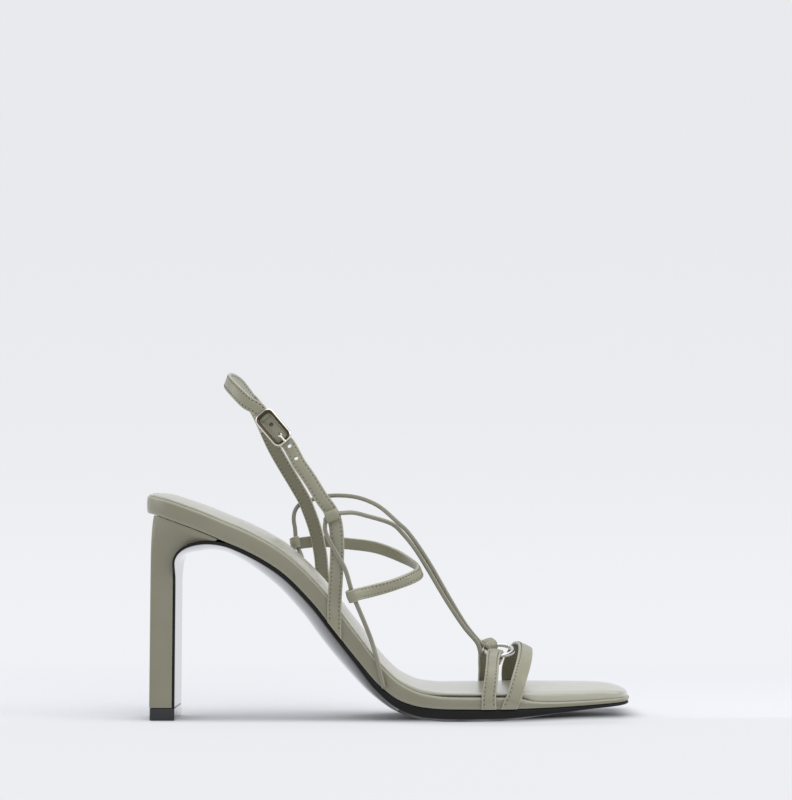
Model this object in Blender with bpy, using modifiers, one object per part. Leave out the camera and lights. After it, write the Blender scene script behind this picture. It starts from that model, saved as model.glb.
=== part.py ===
"""A strappy sandal on a tall block heel, built from the pieces its maker would join.

X runs from heel to toe, Y from the outer side of the foot to its inner side, Z up from the floor.
The origin is on the floor at the centre of the heel tip. All lengths are in metres.
"""

import math
from typing import NamedTuple

import bmesh
import bpy
from mathutils import Matrix, Vector

# Sole
SOLE_LENGTH = 0.2220
BALL_WIDTH = 0.076
HEEL_HEIGHT = 0.0942
TOE_SPRING = 0.0026
BALL_THICKNESS = 0.0068
WALL_HEIGHT = 0.0086
SOCK_EDGE = 0.0010
SOCK_CROWN = 0.0023
SOCK_INSET = 0.0009
OUTSOLE_EDGE = 0.0023
OUTSOLE_BULGE = 0.0052
OUTSOLE_INSET = 0.0004

# Heel
HEEL_TIP_LENGTH = 0.0115
HEEL_TIP_WIDTH = 0.0282
TOP_LIFT_HEIGHT = 0.0054
BREAST_LEATHER = 0.0017
SEAT_OVERHANG = 0.0036
BREAST_TOP = 0.070
ARCH_REACH = 0.029

# Straps and cord
STRAP_TOP = 0.160
STRAP_THICKNESS = 0.0014
TOE_STRAP_WIDTH = 0.0068
RING_STRAP_WIDTH = 0.0060
ANKLE_STRAP_WIDTH = 0.0064
INSTEP_STRAP_WIDTH = 0.0056
CORD_DIAMETER = 0.0020
KEEPER_LENGTH = 0.0050
KEEPER_THICKNESS = 0.0008
STRAP_HOLE = 0.0020
STRAP_HOLE_PITCH = 0.0066
PRONG_HOLE_BACK = 0.0038

# Metal
RING_DIAMETER = 0.0150
RING_WIRE = 0.0020
RING_TILT = math.radians(19.0)
BUCKLE_LENGTH = 0.0178
BUCKLE_WIDTH = 0.0094
BUCKLE_WIRE = 0.0015
PRONG_WIRE = 0.0010

CLEARANCE = 0.0003

HEEL_REAR = -HEEL_TIP_LENGTH / 2
SEAT_REAR = HEEL_REAR - SEAT_OVERHANG
BREAST_X = HEEL_TIP_LENGTH / 2 - BREAST_LEATHER
HALF_STRAP = STRAP_THICKNESS / 2

LEATHER = ("leather", (0.214, 0.209, 0.161), 0.42, 0.0)
LINING = ("lining", (0.500, 0.490, 0.430), 0.45, 0.0)
SOLE_BLACK = ("sole", (0.018, 0.014, 0.013), 0.30, 0.0)
LIFT_BLACK = ("top_lift", (0.036, 0.038, 0.040), 0.60, 0.0)
RING_METAL = ("ring_metal", (0.62, 0.60, 0.56), 0.18, 1.0)
BUCKLE_METAL = ("buckle_metal", (0.60, 0.52, 0.38), 0.22, 1.0)


class Outline(NamedTuple):
    """One pair of points of the sole's plan: shares of SOLE_LENGTH and BALL_WIDTH."""

    along: float
    outer: float
    inner: float


OUTLINE = [
    Outline(0.000, 0.000, 0.000),
    Outline(0.006, 0.100, 0.100),
    Outline(0.024, 0.190, 0.190),
    Outline(0.052, 0.262, 0.262),
    Outline(0.090, 0.308, 0.310),
    Outline(0.149, 0.334, 0.334),
    Outline(0.217, 0.332, 0.322),
    Outline(0.292, 0.312, 0.290),
    Outline(0.362, 0.296, 0.268),
    Outline(0.422, 0.298, 0.280),
    Outline(0.483, 0.332, 0.330),
    Outline(0.543, 0.394, 0.400),
    Outline(0.603, 0.452, 0.466),
    Outline(0.669, 0.484, 0.506),
    Outline(0.734, 0.488, 0.512),
    Outline(0.804, 0.470, 0.486),
    Outline(0.870, 0.438, 0.448),
    Outline(0.925, 0.402, 0.414),
    Outline(0.961, 0.362, 0.378),
    Outline(0.982, 0.304, 0.322),
    Outline(0.9935, 0.208, 0.224),
    Outline(0.9985, 0.104, 0.112),
    Outline(1.000, 0.000, 0.000),
]


class Profile(NamedTuple):
    """The sole's side at one place along it, as shares of the named heights."""

    along: float
    rise: float
    spring: float
    wall: float
    sock: float
    crown: float
    edge: float
    bulge: float


PROFILE = [
    Profile(0.000, 1.000, 0.00, 0.92, 0.50, 0.00, 1.00, 0.35),
    Profile(0.023, 0.987, 0.00, 0.94, 0.80, 0.50, 1.00, 0.35),
    Profile(0.059, 0.958, 0.00, 0.98, 0.90, 1.00, 1.00, 0.35),
    Profile(0.127, 0.895, 0.00, 1.00, 0.90, 1.13, 1.00, 0.35),
    Profile(0.172, 0.846, 0.00, 1.02, 0.90, 1.18, 1.00, 0.40),
    Profile(0.217, 0.797, 0.00, 1.03, 0.90, 1.22, 1.00, 0.55),
    Profile(0.285, 0.694, 0.00, 1.08, 1.00, 1.35, 1.00, 0.86),
    Profile(0.352, 0.527, 0.00, 1.22, 1.10, 1.50, 1.00, 0.98),
    Profile(0.397, 0.381, 0.00, 1.32, 1.20, 1.60, 1.00, 1.04),
    Profile(0.442, 0.239, 0.00, 1.26, 1.20, 1.60, 1.00, 0.98),
    Profile(0.488, 0.108, 0.00, 1.10, 1.20, 1.20, 1.15, 0.72),
    Profile(0.533, 0.032, 0.00, 0.88, 1.30, 0.80, 1.45, 0.52),
    Profile(0.577, 0.006, 0.00, 0.70, 1.50, 0.50, 1.68, 0.54),
    Profile(0.623, 0.000, 0.00, 0.63, 1.60, 0.40, 1.70, 0.60),
    Profile(0.724, 0.000, 0.06, 0.61, 1.70, 0.38, 1.62, 0.60),
    Profile(0.762, 0.000, 0.12, 0.56, 2.20, 0.36, 1.46, 0.54),
    Profile(0.794, 0.000, 0.20, 0.36, 3.90, 0.35, 1.28, 0.46),
    Profile(0.848, 0.000, 0.36, 0.27, 4.30, 0.32, 0.94, 0.32),
    Profile(0.915, 0.000, 0.64, 0.24, 3.90, 0.28, 0.60, 0.16),
    Profile(0.965, 0.000, 0.88, 0.22, 3.10, 0.20, 0.50, 0.10),
    Profile(1.000, 0.000, 1.00, 0.18, 2.20, 0.00, 0.34, 0.02),
]


class Stop(NamedTuple):
    """One place on a strap or cord: shares of SOLE_LENGTH, BALL_WIDTH and STRAP_TOP."""

    along: float
    across: float
    up: float


TOE_STRAP = [
    Stop(0.765, -0.464, 0.126),
    Stop(0.778, -0.345, 0.172),
    Stop(0.786, -0.150, 0.202),
    Stop(0.786, 0.020, 0.210),
    Stop(0.780, 0.190, 0.198),
    Stop(0.772, 0.350, 0.168),
    Stop(0.765, 0.474, 0.124),
]
RING_STRAP_OUTER = [
    Stop(0.709, -0.474, 0.124),
    Stop(0.713, -0.400, 0.158),
    Stop(0.717, -0.260, 0.180),
]
RING_STRAP_INNER = [
    Stop(0.715, 0.494, 0.124),
    Stop(0.713, 0.420, 0.166),
    Stop(0.710, 0.270, 0.200),
]
ANKLE_STRAP_OUTER = [
    Stop(0.398, -0.349, 0.395),
    Stop(0.401, -0.372, 0.485),
    Stop(0.398, -0.388, 0.552),
    Stop(0.388, -0.388, 0.590),
    Stop(0.368, -0.382, 0.629),
    Stop(0.347, -0.370, 0.676),
    Stop(0.323, -0.358, 0.724),
]
HEEL_LOOP = [
    Stop(0.220, -0.276, 0.906),
    Stop(0.198, -0.224, 0.937),
    Stop(0.180, -0.138, 0.964),
    Stop(0.172, -0.040, 0.980),
    Stop(0.175, 0.070, 0.983),
    Stop(0.185, 0.165, 0.968),
    Stop(0.198, 0.232, 0.944),
    Stop(0.212, 0.276, 0.916),
    Stop(0.230, 0.307, 0.869),
    Stop(0.261, 0.329, 0.776),
    Stop(0.316, 0.352, 0.647),
    Stop(0.330, 0.355, 0.606),
    Stop(0.347, 0.350, 0.540),
    Stop(0.358, 0.334, 0.470),
    Stop(0.362, 0.310, 0.420),
]
INSTEP_STRAP = [
    Stop(0.328, 0.432, 0.503),
    Stop(0.360, 0.430, 0.507),
    Stop(0.410, 0.385, 0.500),
    Stop(0.470, 0.290, 0.490),
    Stop(0.515, 0.180, 0.470),
    Stop(0.553, 0.070, 0.443),
    Stop(0.571, -0.035, 0.418),
    Stop(0.559, -0.140, 0.400),
    Stop(0.512, -0.258, 0.381),
    Stop(0.471, -0.332, 0.367),
]
CORD_INNER = [
    Stop(0.691, 0.016, 0.231),
    Stop(0.664, 0.013, 0.272),
    Stop(0.630, 0.013, 0.346),
    Stop(0.595, 0.013, 0.431),
    Stop(0.566, 0.014, 0.494),
    Stop(0.543, 0.020, 0.536),
    Stop(0.526, 0.046, 0.558),
    Stop(0.489, 0.145, 0.604),
    Stop(0.456, 0.222, 0.628),
    Stop(0.422, 0.290, 0.640),
    Stop(0.378, 0.366, 0.642),
]
CORD_OUTER = [
    Stop(0.686, -0.016, 0.225),
    Stop(0.660, -0.013, 0.262),
    Stop(0.625, -0.013, 0.336),
    Stop(0.589, -0.013, 0.420),
    Stop(0.561, -0.014, 0.482),
    Stop(0.535, -0.020, 0.527),
    Stop(0.510, -0.092, 0.557),
    Stop(0.460, -0.228, 0.578),
    Stop(0.434, -0.330, 0.586),
    Stop(0.414, -0.396, 0.585),
]
KEEPER_OUTER = Stop(0.391, -0.388, 0.577)
KEEPER_INNER = Stop(0.324, 0.354, 0.624)
TAB_OUTER = Stop(0.436, -0.380, 0.345)
TAB_INNER = Stop(0.305, 0.408, 0.501)
BUCKLE_PLACE = Stop(0.270, -0.325, 0.827)


def smooth(rows, column, at):
    """Reads one column of a table at a place along it, with no overshoot between the rows."""
    xs = [row[0] for row in rows]
    ys = [getattr(row, column) for row in rows]
    if at <= xs[0]:
        return ys[0]
    if at >= xs[-1]:
        return ys[-1]
    steps = [(ys[i + 1] - ys[i]) / (xs[i + 1] - xs[i]) for i in range(len(xs) - 1)]

    def slope(i):
        if i in (0, len(xs) - 1):
            return steps[min(i, len(steps) - 1)]
        before, after = steps[i - 1], steps[i]
        if before * after <= 0:
            return 0.0
        return 2 * before * after / (before + after)

    i = max(k for k in range(len(xs) - 1) if xs[k] <= at)
    width = xs[i + 1] - xs[i]
    t = (at - xs[i]) / width
    return (
        ys[i] * (1 + 2 * t) * (1 - t) ** 2
        + ys[i + 1] * t * t * (3 - 2 * t)
        + slope(i) * width * t * (1 - t) ** 2
        - slope(i + 1) * width * t * t * (1 - t)
    )


def spline(points, per_span):
    """Points along a smooth curve through the given points."""
    found = []
    last = len(points) - 1
    for i in range(last):
        before = points[i - 1] if i else points[0] * 2 - points[1]
        after = points[i + 2] if i + 2 <= last else points[last] * 2 - points[last - 1]
        start, end = points[i], points[i + 1]
        for k in range(per_span):
            t = k / per_span
            found.append(
                start
                + (end - before) * (t / 2)
                + (before * 2 - start * 5 + end * 4 - after) * (t * t / 2)
                + (start * 3 - before - end * 3 + after) * (t**3 / 2)
            )
    return found + [points[last]]


def share(x):
    return (x - SEAT_REAR) / SOLE_LENGTH


def under_wall(x):
    """Height of the underside of the footbed."""
    s = share(x)
    rise = smooth(PROFILE, "rise", s) * (HEEL_HEIGHT - BALL_THICKNESS)
    return BALL_THICKNESS + rise + TOE_SPRING * smooth(PROFILE, "spring", s)


def wall_top(x):
    return under_wall(x) + WALL_HEIGHT * smooth(PROFILE, "wall", share(x))


def sock_top(x):
    return wall_top(x) + CLEARANCE + SOCK_EDGE * smooth(PROFILE, "sock", share(x))


def place(stop):
    """The point in space that a table's row names."""
    return Vector((
        SEAT_REAR + stop.along * SOLE_LENGTH,
        stop.across * BALL_WIDTH,
        stop.up * STRAP_TOP,
    ))


def plan(side, per_row=3):
    """Points along one side of the sole's plan, from the rear to the tip of the toe."""
    column = 1 if side < 0 else 2
    rows = [
        Vector((SEAT_REAR + row[0] * SOLE_LENGTH, side * row[column] * BALL_WIDTH))
        for row in OUTLINE
    ]
    return spline(rows, per_row)


def inset_plan(side, inset):
    """The same points moved inward, square to the edge."""
    points = plan(side)
    moved = []
    for i, point in enumerate(points):
        along = points[min(i + 1, len(points) - 1)] - points[max(i - 1, 0)]
        if i in (0, len(points) - 1):
            along = Vector((0.0, 1.0 if i == 0 else -1.0)) * side
        inward = Vector((along.y, -along.x)) * side
        moved.append(point + inward.normalized() * inset)
    return moved


def half_width(x, side):
    """Distance from the middle of the sole to its edge at x."""
    points = plan(side)
    for start, end in zip(points, points[1:]):
        if start.x <= x <= end.x and end.x > start.x:
            t = (x - start.x) / (end.x - start.x)
            return abs(start.y + (end.y - start.y) * t)
    return 0.0


def material(look):
    name, colour, roughness, metallic = look
    found = bpy.data.materials.get(name)
    if found:
        return found
    made = bpy.data.materials.new(name)
    made.use_nodes = True
    shader = made.node_tree.nodes["Principled BSDF"]
    shader.inputs["Base Color"].default_value = (*colour, 1.0)
    shader.inputs["Roughness"].default_value = roughness
    shader.inputs["Metallic"].default_value = metallic
    return made


def add_mesh(name, bm, look, home, sharp=35.0):
    """Makes an object of a bmesh, with one closed skin facing out."""
    bmesh.ops.remove_doubles(bm, verts=bm.verts, dist=1e-6)
    bmesh.ops.dissolve_degenerate(bm, edges=bm.edges, dist=1e-7)
    bmesh.ops.recalc_face_normals(bm, faces=bm.faces)
    mesh = bpy.data.meshes.new(name)
    bm.to_mesh(mesh)
    bm.free()
    mesh.shade_smooth()
    mesh.set_sharp_from_angle(angle=math.radians(sharp))
    obj = bpy.data.objects.new(name, mesh)
    mesh.materials.append(material(look))
    home.objects.link(obj)
    return obj


def join_loops(bm, loops):
    """Skins a row of closed loops and returns their vertices."""
    rings = [[bm.verts.new(point) for point in loop] for loop in loops]
    for low, high in zip(rings, rings[1:]):
        count = len(low)
        for i in range(count):
            k = (i + 1) % count
            bm.faces.new((low[i], low[k], high[k], high[i]))
    return rings


def cap_pairs(bm, ring, crown=None, across=2):
    """Closes a ring by strips from each point of one side to its partner on the other."""
    half = len(ring) // 2
    rows = []
    for i in range(half):
        near, far = ring[i], ring[len(ring) - 1 - i]
        row = [near]
        for k in range(1, across):
            t = k / across
            point = near.co.lerp(far.co, t)
            if crown:
                point.z += crown(point.x) * (1 - (2 * t - 1) ** 2)
            row.append(bm.verts.new(point))
        rows.append(row + [far])
    for first, second in zip(rows, rows[1:]):
        for k in range(across):
            bm.faces.new((first[k], first[k + 1], second[k + 1], second[k]))


def plan_ring(inset, height):
    """A closed ring round the sole's plan: the outer side to the toe, the inner side back."""
    outer = [Vector((p.x, p.y, height(p.x))) for p in inset_plan(-1, inset)]
    inner = [Vector((p.x, p.y, height(p.x))) for p in inset_plan(1, inset)]
    return outer + inner[::-1]


def slab(name, rings, look, home, crown=None, across=2):
    """A plate of the sole's plan, skinned over rings from its underside to its top."""
    bm = bmesh.new()
    made = join_loops(bm, rings)
    cap_pairs(bm, made[0])
    cap_pairs(bm, made[-1], crown, across)
    return add_mesh(name, bm, look, home)


def make_footbed(home):
    rim = 0.0008
    rings = [
        plan_ring(rim / 2, under_wall),
        plan_ring(0.0, lambda x: under_wall(x) + rim / 2),
        plan_ring(0.0, lambda x: wall_top(x) - rim),
        plan_ring(rim / 3, lambda x: wall_top(x) - rim / 3),
        plan_ring(rim, wall_top),
    ]
    return slab("footbed", rings, LEATHER, home)


def make_sock(home):
    def low(x):
        return wall_top(x) + CLEARANCE

    def level(part):
        return lambda x: low(x) + (sock_top(x) - low(x)) * part

    def crown(x):
        return SOCK_CROWN * smooth(PROFILE, "crown", share(x))

    rings = [
        plan_ring(SOCK_INSET * 1.3, low),
        plan_ring(SOCK_INSET, level(0.25)),
        plan_ring(SOCK_INSET, level(0.55)),
        plan_ring(SOCK_INSET * 1.5, level(0.85)),
        plan_ring(SOCK_INSET * 2.6, level(1.0)),
    ]
    return slab("insole_sock", rings, LINING, home, crown, across=4)


def sole_slope(x):
    step = SOLE_LENGTH / 400
    return Vector((2 * step, under_wall(x + step) - under_wall(x - step))).normalized()


def arch_path():
    """The line where the outsole lies against the heel and footbed, floor to toe, as (x, z)."""
    floor = TOP_LIFT_HEIGHT + CLEARANCE
    join = SEAT_REAR + SOLE_LENGTH * 0.19
    foot = Vector((BREAST_X, BREAST_TOP))
    end = Vector((join, under_wall(join) - CLEARANCE))
    lift = foot + Vector((0.0, ARCH_REACH * 0.38))
    back = end - sole_slope(join) * ARCH_REACH * 0.41
    path = [Vector((BREAST_X, floor)).lerp(foot, k / 4) for k in range(4)]
    for k in range(10):
        t = k / 10
        path.append(
            foot * (1 - t) ** 3
            + lift * 3 * t * (1 - t) ** 2
            + back * 3 * t * t * (1 - t)
            + end * t**3
        )
    toe = SEAT_REAR + SOLE_LENGTH - OUTSOLE_INSET * 3
    count = 42
    for k in range(count + 1):
        t = k / count
        x = join + (toe - join) * (1 - (1 - t) ** 1.25)
        path.append(Vector((x, under_wall(x) - CLEARANCE)))
    return path


def make_outsole(home):
    """One sheet from the toe to the top lift, full in the middle and thin at its edges."""
    path = arch_path()
    breast_end = len(path) - 43
    loops = []
    for i, point in enumerate(path):
        along = (path[min(i + 1, len(path) - 1)] - path[max(i - 1, 0)]).normalized()
        away = Vector((along.y, -along.x))
        flap = min(1.0, i / breast_end)
        s = share(point.x)
        edge = OUTSOLE_EDGE * smooth(PROFILE, "edge", s)
        bulge = OUTSOLE_BULGE * smooth(PROFILE, "bulge", s)
        if flap < 1.0:
            ease = max(0.0, (i - 4) / (breast_end - 4))
            edge = BREAST_LEATHER + (edge - BREAST_LEATHER) * ease
            bulge = bulge * ease
        wide = []
        for side in (-1, 1):
            sole_side = half_width(point.x, side) - OUTSOLE_INSET
            tip_side = HEEL_TIP_WIDTH / 2
            height = max(0.0, min(1.0, (point.y - BREAST_TOP * 0.9) / (HEEL_HEIGHT * 0.12)))
            blend = height * height * (3 - 2 * height) if flap < 1.0 else 1.0
            wide.append(tip_side + (sole_side - tip_side) * blend)
        loop = []
        count = 8
        for k in range(count + 1):
            u = 2 * k / count - 1
            y = u * (wide[0] if u < 0 else wide[1])
            fall = max(0.0, (abs(u) - 0.30) / 0.70)
            depth = edge + bulge * (1 - fall * fall)
            low = point + away * depth
            loop.append(Vector((low.x, y, max(low.y, 0.0))))
        top = [
            Vector((point.x, loop[-1].y, point.y)),
            Vector((point.x, 0.0, point.y)),
            Vector((point.x, loop[0].y, point.y)),
        ]
        loops.append(loop + top)
    bm = bmesh.new()
    rings = join_loops(bm, loops)
    bm.faces.new(rings[0])
    bm.faces.new(rings[-1])
    return add_mesh("outsole", bm, SOLE_BLACK, home, sharp=30.0)


def heel_front():
    """The heel block's front line, from its foot to the tip under the footbed."""
    path = arch_path()[: 4 + 10 + 1]
    moved = []
    for i, point in enumerate(path):
        along = (path[min(i + 1, len(path) - 1)] - path[max(i - 1, 0)]).normalized()
        moved.append(point + Vector((-along.y, along.x)) * CLEARANCE)
    return [p for p in moved if p.y < under_wall(p.x) - 0.0009]


def make_heel(home):
    """The block heel: a plain column that opens out under the seat."""
    front = heel_front()
    floor = TOP_LIFT_HEIGHT + CLEARANCE
    rear_top = SEAT_REAR + SOLE_LENGTH * 0.022
    loops = []
    count = len(front)
    for i, tip in enumerate(front):
        t = i / (count - 1)
        level = (tip.y - floor) / (front[-1].y - floor)
        rise = max(0.0, (i - 3) / (count - 4))
        rear_z = tip.y + (under_wall(rear_top) - CLEARANCE - tip.y) * rise
        rear_x = HEEL_REAR + (rear_top - HEEL_REAR) * rise * rise
        flare = rise * rise * (3 - 2 * rise)
        pairs = []
        for part, square in ((0.0, 0.80), (0.03, 0.93), (0.10, 1.0), (0.3, 1.0), (0.6, 1.0), (1.0, 1.0)):
            x = rear_x + (tip.x - rear_x) * part
            z = rear_z + (tip.y - rear_z) * part
            ceiling = under_wall(x) - CLEARANCE
            if i == count - 1:
                z = ceiling
            z = min(z, ceiling)
            sides = []
            for side in (-1, 1):
                column = HEEL_TIP_WIDTH / 2 * square
                seat = max(0.0, half_width(x, side) - OUTSOLE_INSET * 2)
                sides.append(side * (column + (seat - column) * flare))
            pairs.append((x, z, sides))
        outer = [Vector((x, sides[0], z)) for x, z, sides in pairs]
        inner = [Vector((x, sides[1], z)) for x, z, sides in pairs]
        loops.append(outer + inner[::-1])
    bm = bmesh.new()
    rings = join_loops(bm, loops)
    cap_pairs(bm, rings[0], across=1)
    cap_pairs(bm, rings[-1], across=1)
    return add_mesh("heel_block", bm, LEATHER, home)


def make_top_lift(home):
    bm = bmesh.new()
    bmesh.ops.create_cube(bm, size=1.0)
    bmesh.ops.scale(bm, vec=(HEEL_TIP_LENGTH, HEEL_TIP_WIDTH, TOP_LIFT_HEIGHT), verts=bm.verts)
    bmesh.ops.translate(bm, vec=(0.0, 0.0, TOP_LIFT_HEIGHT / 2), verts=bm.verts)
    corners = [e for e in bm.edges if abs(e.verts[0].co.z - e.verts[1].co.z) > TOP_LIFT_HEIGHT / 2]
    rear = [e for e in corners if e.verts[0].co.x < 0]
    bmesh.ops.bevel(bm, geom=rear, offset=0.0018, segments=3, profile=0.5, affect="EDGES")
    return add_mesh("top_lift", bm, LIFT_BLACK, home)


def strap(name, points, widths, wide_ways, home, look=LEATHER, holes=()):
    """A flat strap along a route: a strip of faces with Solidify, then round holes."""
    bm = bmesh.new()
    rows = []
    for point, width, way in zip(points, widths, wide_ways):
        rows.append([bm.verts.new(point + way * width * part) for part in (-0.5, 0.0, 0.5)])
    for first, second in zip(rows, rows[1:]):
        for k in range(2):
            bm.faces.new((first[k], first[k + 1], second[k + 1], second[k]))
    mesh = bpy.data.meshes.new(name)
    bm.to_mesh(mesh)
    bm.free()
    mesh.materials.append(material(look))
    obj = bpy.data.objects.new(name, mesh)
    home.objects.link(obj)
    shell = obj.modifiers.new("thickness", "SOLIDIFY")
    shell.thickness = STRAP_THICKNESS
    shell.offset = 0.0
    shell.use_even_offset = False
    for number, (centre, normal, cutters) in enumerate(holes):
        cut = obj.modifiers.new(f"hole_{number}", "BOOLEAN")
        cut.object = hole_cutter(f"{name}_hole_{number}", centre, normal, cutters)
        cut.operation = "DIFFERENCE"
    return obj


def hole_cutter(name, centre, normal, cutters):
    bm = bmesh.new()
    bmesh.ops.create_cone(
        bm, cap_ends=True, segments=12,
        radius1=STRAP_HOLE / 2, radius2=STRAP_HOLE / 2, depth=STRAP_THICKNESS * 3,
    )
    turn = Vector((0.0, 0.0, 1.0)).rotation_difference(normal).to_matrix().to_4x4()
    bm.transform(Matrix.Translation(centre) @ turn)
    mesh = bpy.data.meshes.new(name)
    bm.to_mesh(mesh)
    bm.free()
    obj = bpy.data.objects.new(name, mesh)
    obj.hide_render = True
    obj.display_type = "WIRE"
    cutters.objects.link(obj)
    return obj


def wall_out(x, side):
    """The direction that the footbed's wall faces at x."""
    step = SOLE_LENGTH / 200
    slope = (half_width(x + step, side) - half_width(x - step, side)) / (2 * step)
    return Vector((-slope, float(side), 0.0)).normalized()


def ways_round(points, core):
    """The direction of a strap's width at each point, for a strap that faces away from a core.

    Low on the footbed's wall the strap lies flat on it, and its end follows the wall's lower edge.
    """
    ways = []
    for i, point in enumerate(points):
        along = (points[min(i + 1, len(points) - 1)] - points[max(i - 1, 0)]).normalized()
        out = (point - core(point)).normalized()
        side = 1 if point.y > 0 else -1
        top = wall_top(point.x)
        near = abs(abs(point.y) - half_width(point.x, side)) < WALL_HEIGHT
        rise = min(1.0, max(0.0, (point.z - top) / WALL_HEIGHT)) if near else 1.0
        out = wall_out(point.x, side).lerp(out, rise * rise * (3 - 2 * rise))
        out = (out - along * out.dot(along)).normalized()
        way = along.cross(out).normalized()
        if near and point.z < top:
            facing = wall_out(point.x, side)
            flat = sole_slope(point.x)
            edge = Vector((flat.x, -facing.x / facing.y * flat.x, flat.y)).normalized()
            edge = edge if edge.dot(way) > 0 else -edge
            edge = edge / max(0.4, edge.cross(along).length)
            way = way.lerp(edge, min(1.0, (top - point.z) / (top - under_wall(point.x))))
        ways.append(way)
    return ways


def foot_core(x):
    """A core inside the forefoot, for the straps that cross it."""
    return lambda point: Vector((x(point), 0.0, BALL_THICKNESS))


def ankle_core(point):
    """A core up the middle of the ankle: level with the point low down, and a leaning line above."""
    level = Vector((point.x - 0.0015, 0.0, point.z))
    middle = place(Stop(0.263, 0.0, 0.940))
    lean = Vector((0.34, 0.0, 0.94)).normalized()
    line = middle + lean * (point - middle).dot(lean)
    rise = min(1.0, max(0.0, (point.z / STRAP_TOP - 0.80) / 0.13))
    return level.lerp(line, rise * rise * (3 - 2 * rise))


def instep_core(point):
    """A core inside the instep, for the strap that comes round the front of it."""
    low = place(Stop(0.282, 0.0, 0.42))
    return Vector((low.x, 0.0, low.z + (point.z - low.z) * 0.9))


def wall_foot(stop, side, inner_gap=CLEARANCE):
    """Two points down the footbed's wall, where a strap is tucked in under it."""
    x = place(stop).x
    y = side * (half_width(x, side) + inner_gap + HALF_STRAP)
    top = Vector((x, y, wall_top(x) + 0.0006))
    low = Vector((x, y, under_wall(x) + 0.0002))
    return low, low.lerp(top, 0.5), top


def make_toe_strap(home):
    low_o, mid_o, top_o = wall_foot(Stop(0.749, 0, 0), -1)
    low_i, mid_i, top_i = wall_foot(Stop(0.762, 0, 0), 1)
    top_o.x += 0.0012
    points = [low_o, mid_o, top_o] + [place(s) for s in TOE_STRAP] + [top_i, mid_i, low_i]
    route = spline(points, 3)
    ways = ways_round(route, foot_core(lambda p: p.x - TOE_STRAP_WIDTH * 1.6))
    return strap("toe_strap", route, [TOE_STRAP_WIDTH] * len(route), ways, home)


def ring_centre():
    return place(Stop(0.734, 0.0, 0.1930))


def ring_point(angle):
    """A point on the middle line of the ring's wire, 0 at the front and 90 on the inner side."""
    radius = (RING_DIAMETER - RING_WIRE) / 2
    flat = Vector((radius * math.cos(angle), radius * math.sin(angle), 0.0))
    return ring_centre() + Matrix.Rotation(RING_TILT, 3, "X") @ flat


def make_ring(home):
    bpy.ops.mesh.primitive_torus_add(
        major_segments=36, minor_segments=8,
        major_radius=(RING_DIAMETER - RING_WIRE) / 2, minor_radius=RING_WIRE / 2,
    )
    obj = bpy.context.object
    obj.name = "ring"
    obj.data.name = "ring"
    obj.data.shade_smooth()
    obj.data.materials.append(material(RING_METAL))
    obj.location = ring_centre()
    obj.rotation_euler = (RING_TILT, 0.0, 0.0)
    for old in list(obj.users_collection):
        old.objects.unlink(obj)
    home.objects.link(obj)
    return obj


def wrap(centre, start, turn_axis, radius, sweep, count):
    """Points round a bar: from a start direction, turned about the bar's axis."""
    return [
        centre + Matrix.Rotation(sweep * k / count, 3, turn_axis) @ start.normalized() * radius
        for k in range(count + 1)
    ]


def make_ring_strap(name, rows, side, home):
    """A strap from the footbed's wall to the ring, folded round the ring's wire and back."""
    place_x = 0.700 if side < 0 else 0.712
    low, mid, top = wall_foot(Stop(place_x, 0, 0), side)
    angle = math.radians(-112.0 if side < 0 else 117.0)
    ring_radius = (RING_DIAMETER - RING_WIRE) / 2
    sag = (RING_STRAP_WIDTH * 0.39) ** 2 / (2 * ring_radius)
    wire = ring_point(angle).lerp(ring_centre(), sag / 2 / ring_radius)
    radius = RING_WIRE / 2 + CLEARANCE + sag + HALF_STRAP
    route = spline([low, mid, top] + [place(s) for s in rows], 3)
    tilt = Matrix.Rotation(RING_TILT, 3, "X")
    outward = tilt @ Vector((math.cos(angle), math.sin(angle), 0.0))
    up = tilt @ Vector((0.0, 0.0, 1.0))
    axis = up.cross(-outward).normalized()
    fold = wrap(wire, up, axis, radius, math.radians(200.0), 7)
    lead = spline([route[-1], fold[0] + outward * radius * 1.1, fold[0]], 2)[1:-1]
    tail = fold[-1] + outward * 0.0032 - up * 0.0003
    points = route + lead + fold + [tail]
    ways = ways_round(points, foot_core(lambda p: p.x))
    sideways = axis * (1.0 if axis.dot(ways[6]) > 0 else -1.0)
    for i in range(len(points)):
        blend = min(1.0, max(0.0, (i - 5) / 4))
        ways[i] = ways[i].lerp(sideways, blend)
    widths = []
    for i in range(len(points)):
        part = min(1.0, i / (len(route) - 1))
        widths.append(RING_STRAP_WIDTH * (1.12 - 0.34 * part))
    return strap(name, points, widths, ways, home)


def buckle_axes():
    """The buckle's own directions: down the strap, across it, and out from the ankle."""
    below = place(ANKLE_STRAP_OUTER[-1])
    above = place(HEEL_LOOP[0])
    down = (below - above).normalized()
    out = Vector((-0.05, -1.0, 0.0))
    out = (out - down * out.dot(down)).normalized()
    return down, down.cross(out).normalized(), out


def at_buckle(along, level, across=0.0):
    down, wide, out = buckle_axes()
    return place(BUCKLE_PLACE) + down * along + out * level + wide * across


def bar_offset():
    return (BUCKLE_LENGTH - BUCKLE_WIRE) / 2


def fold_radius():
    return BUCKLE_WIRE / 2 + CLEARANCE + HALF_STRAP


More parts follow.
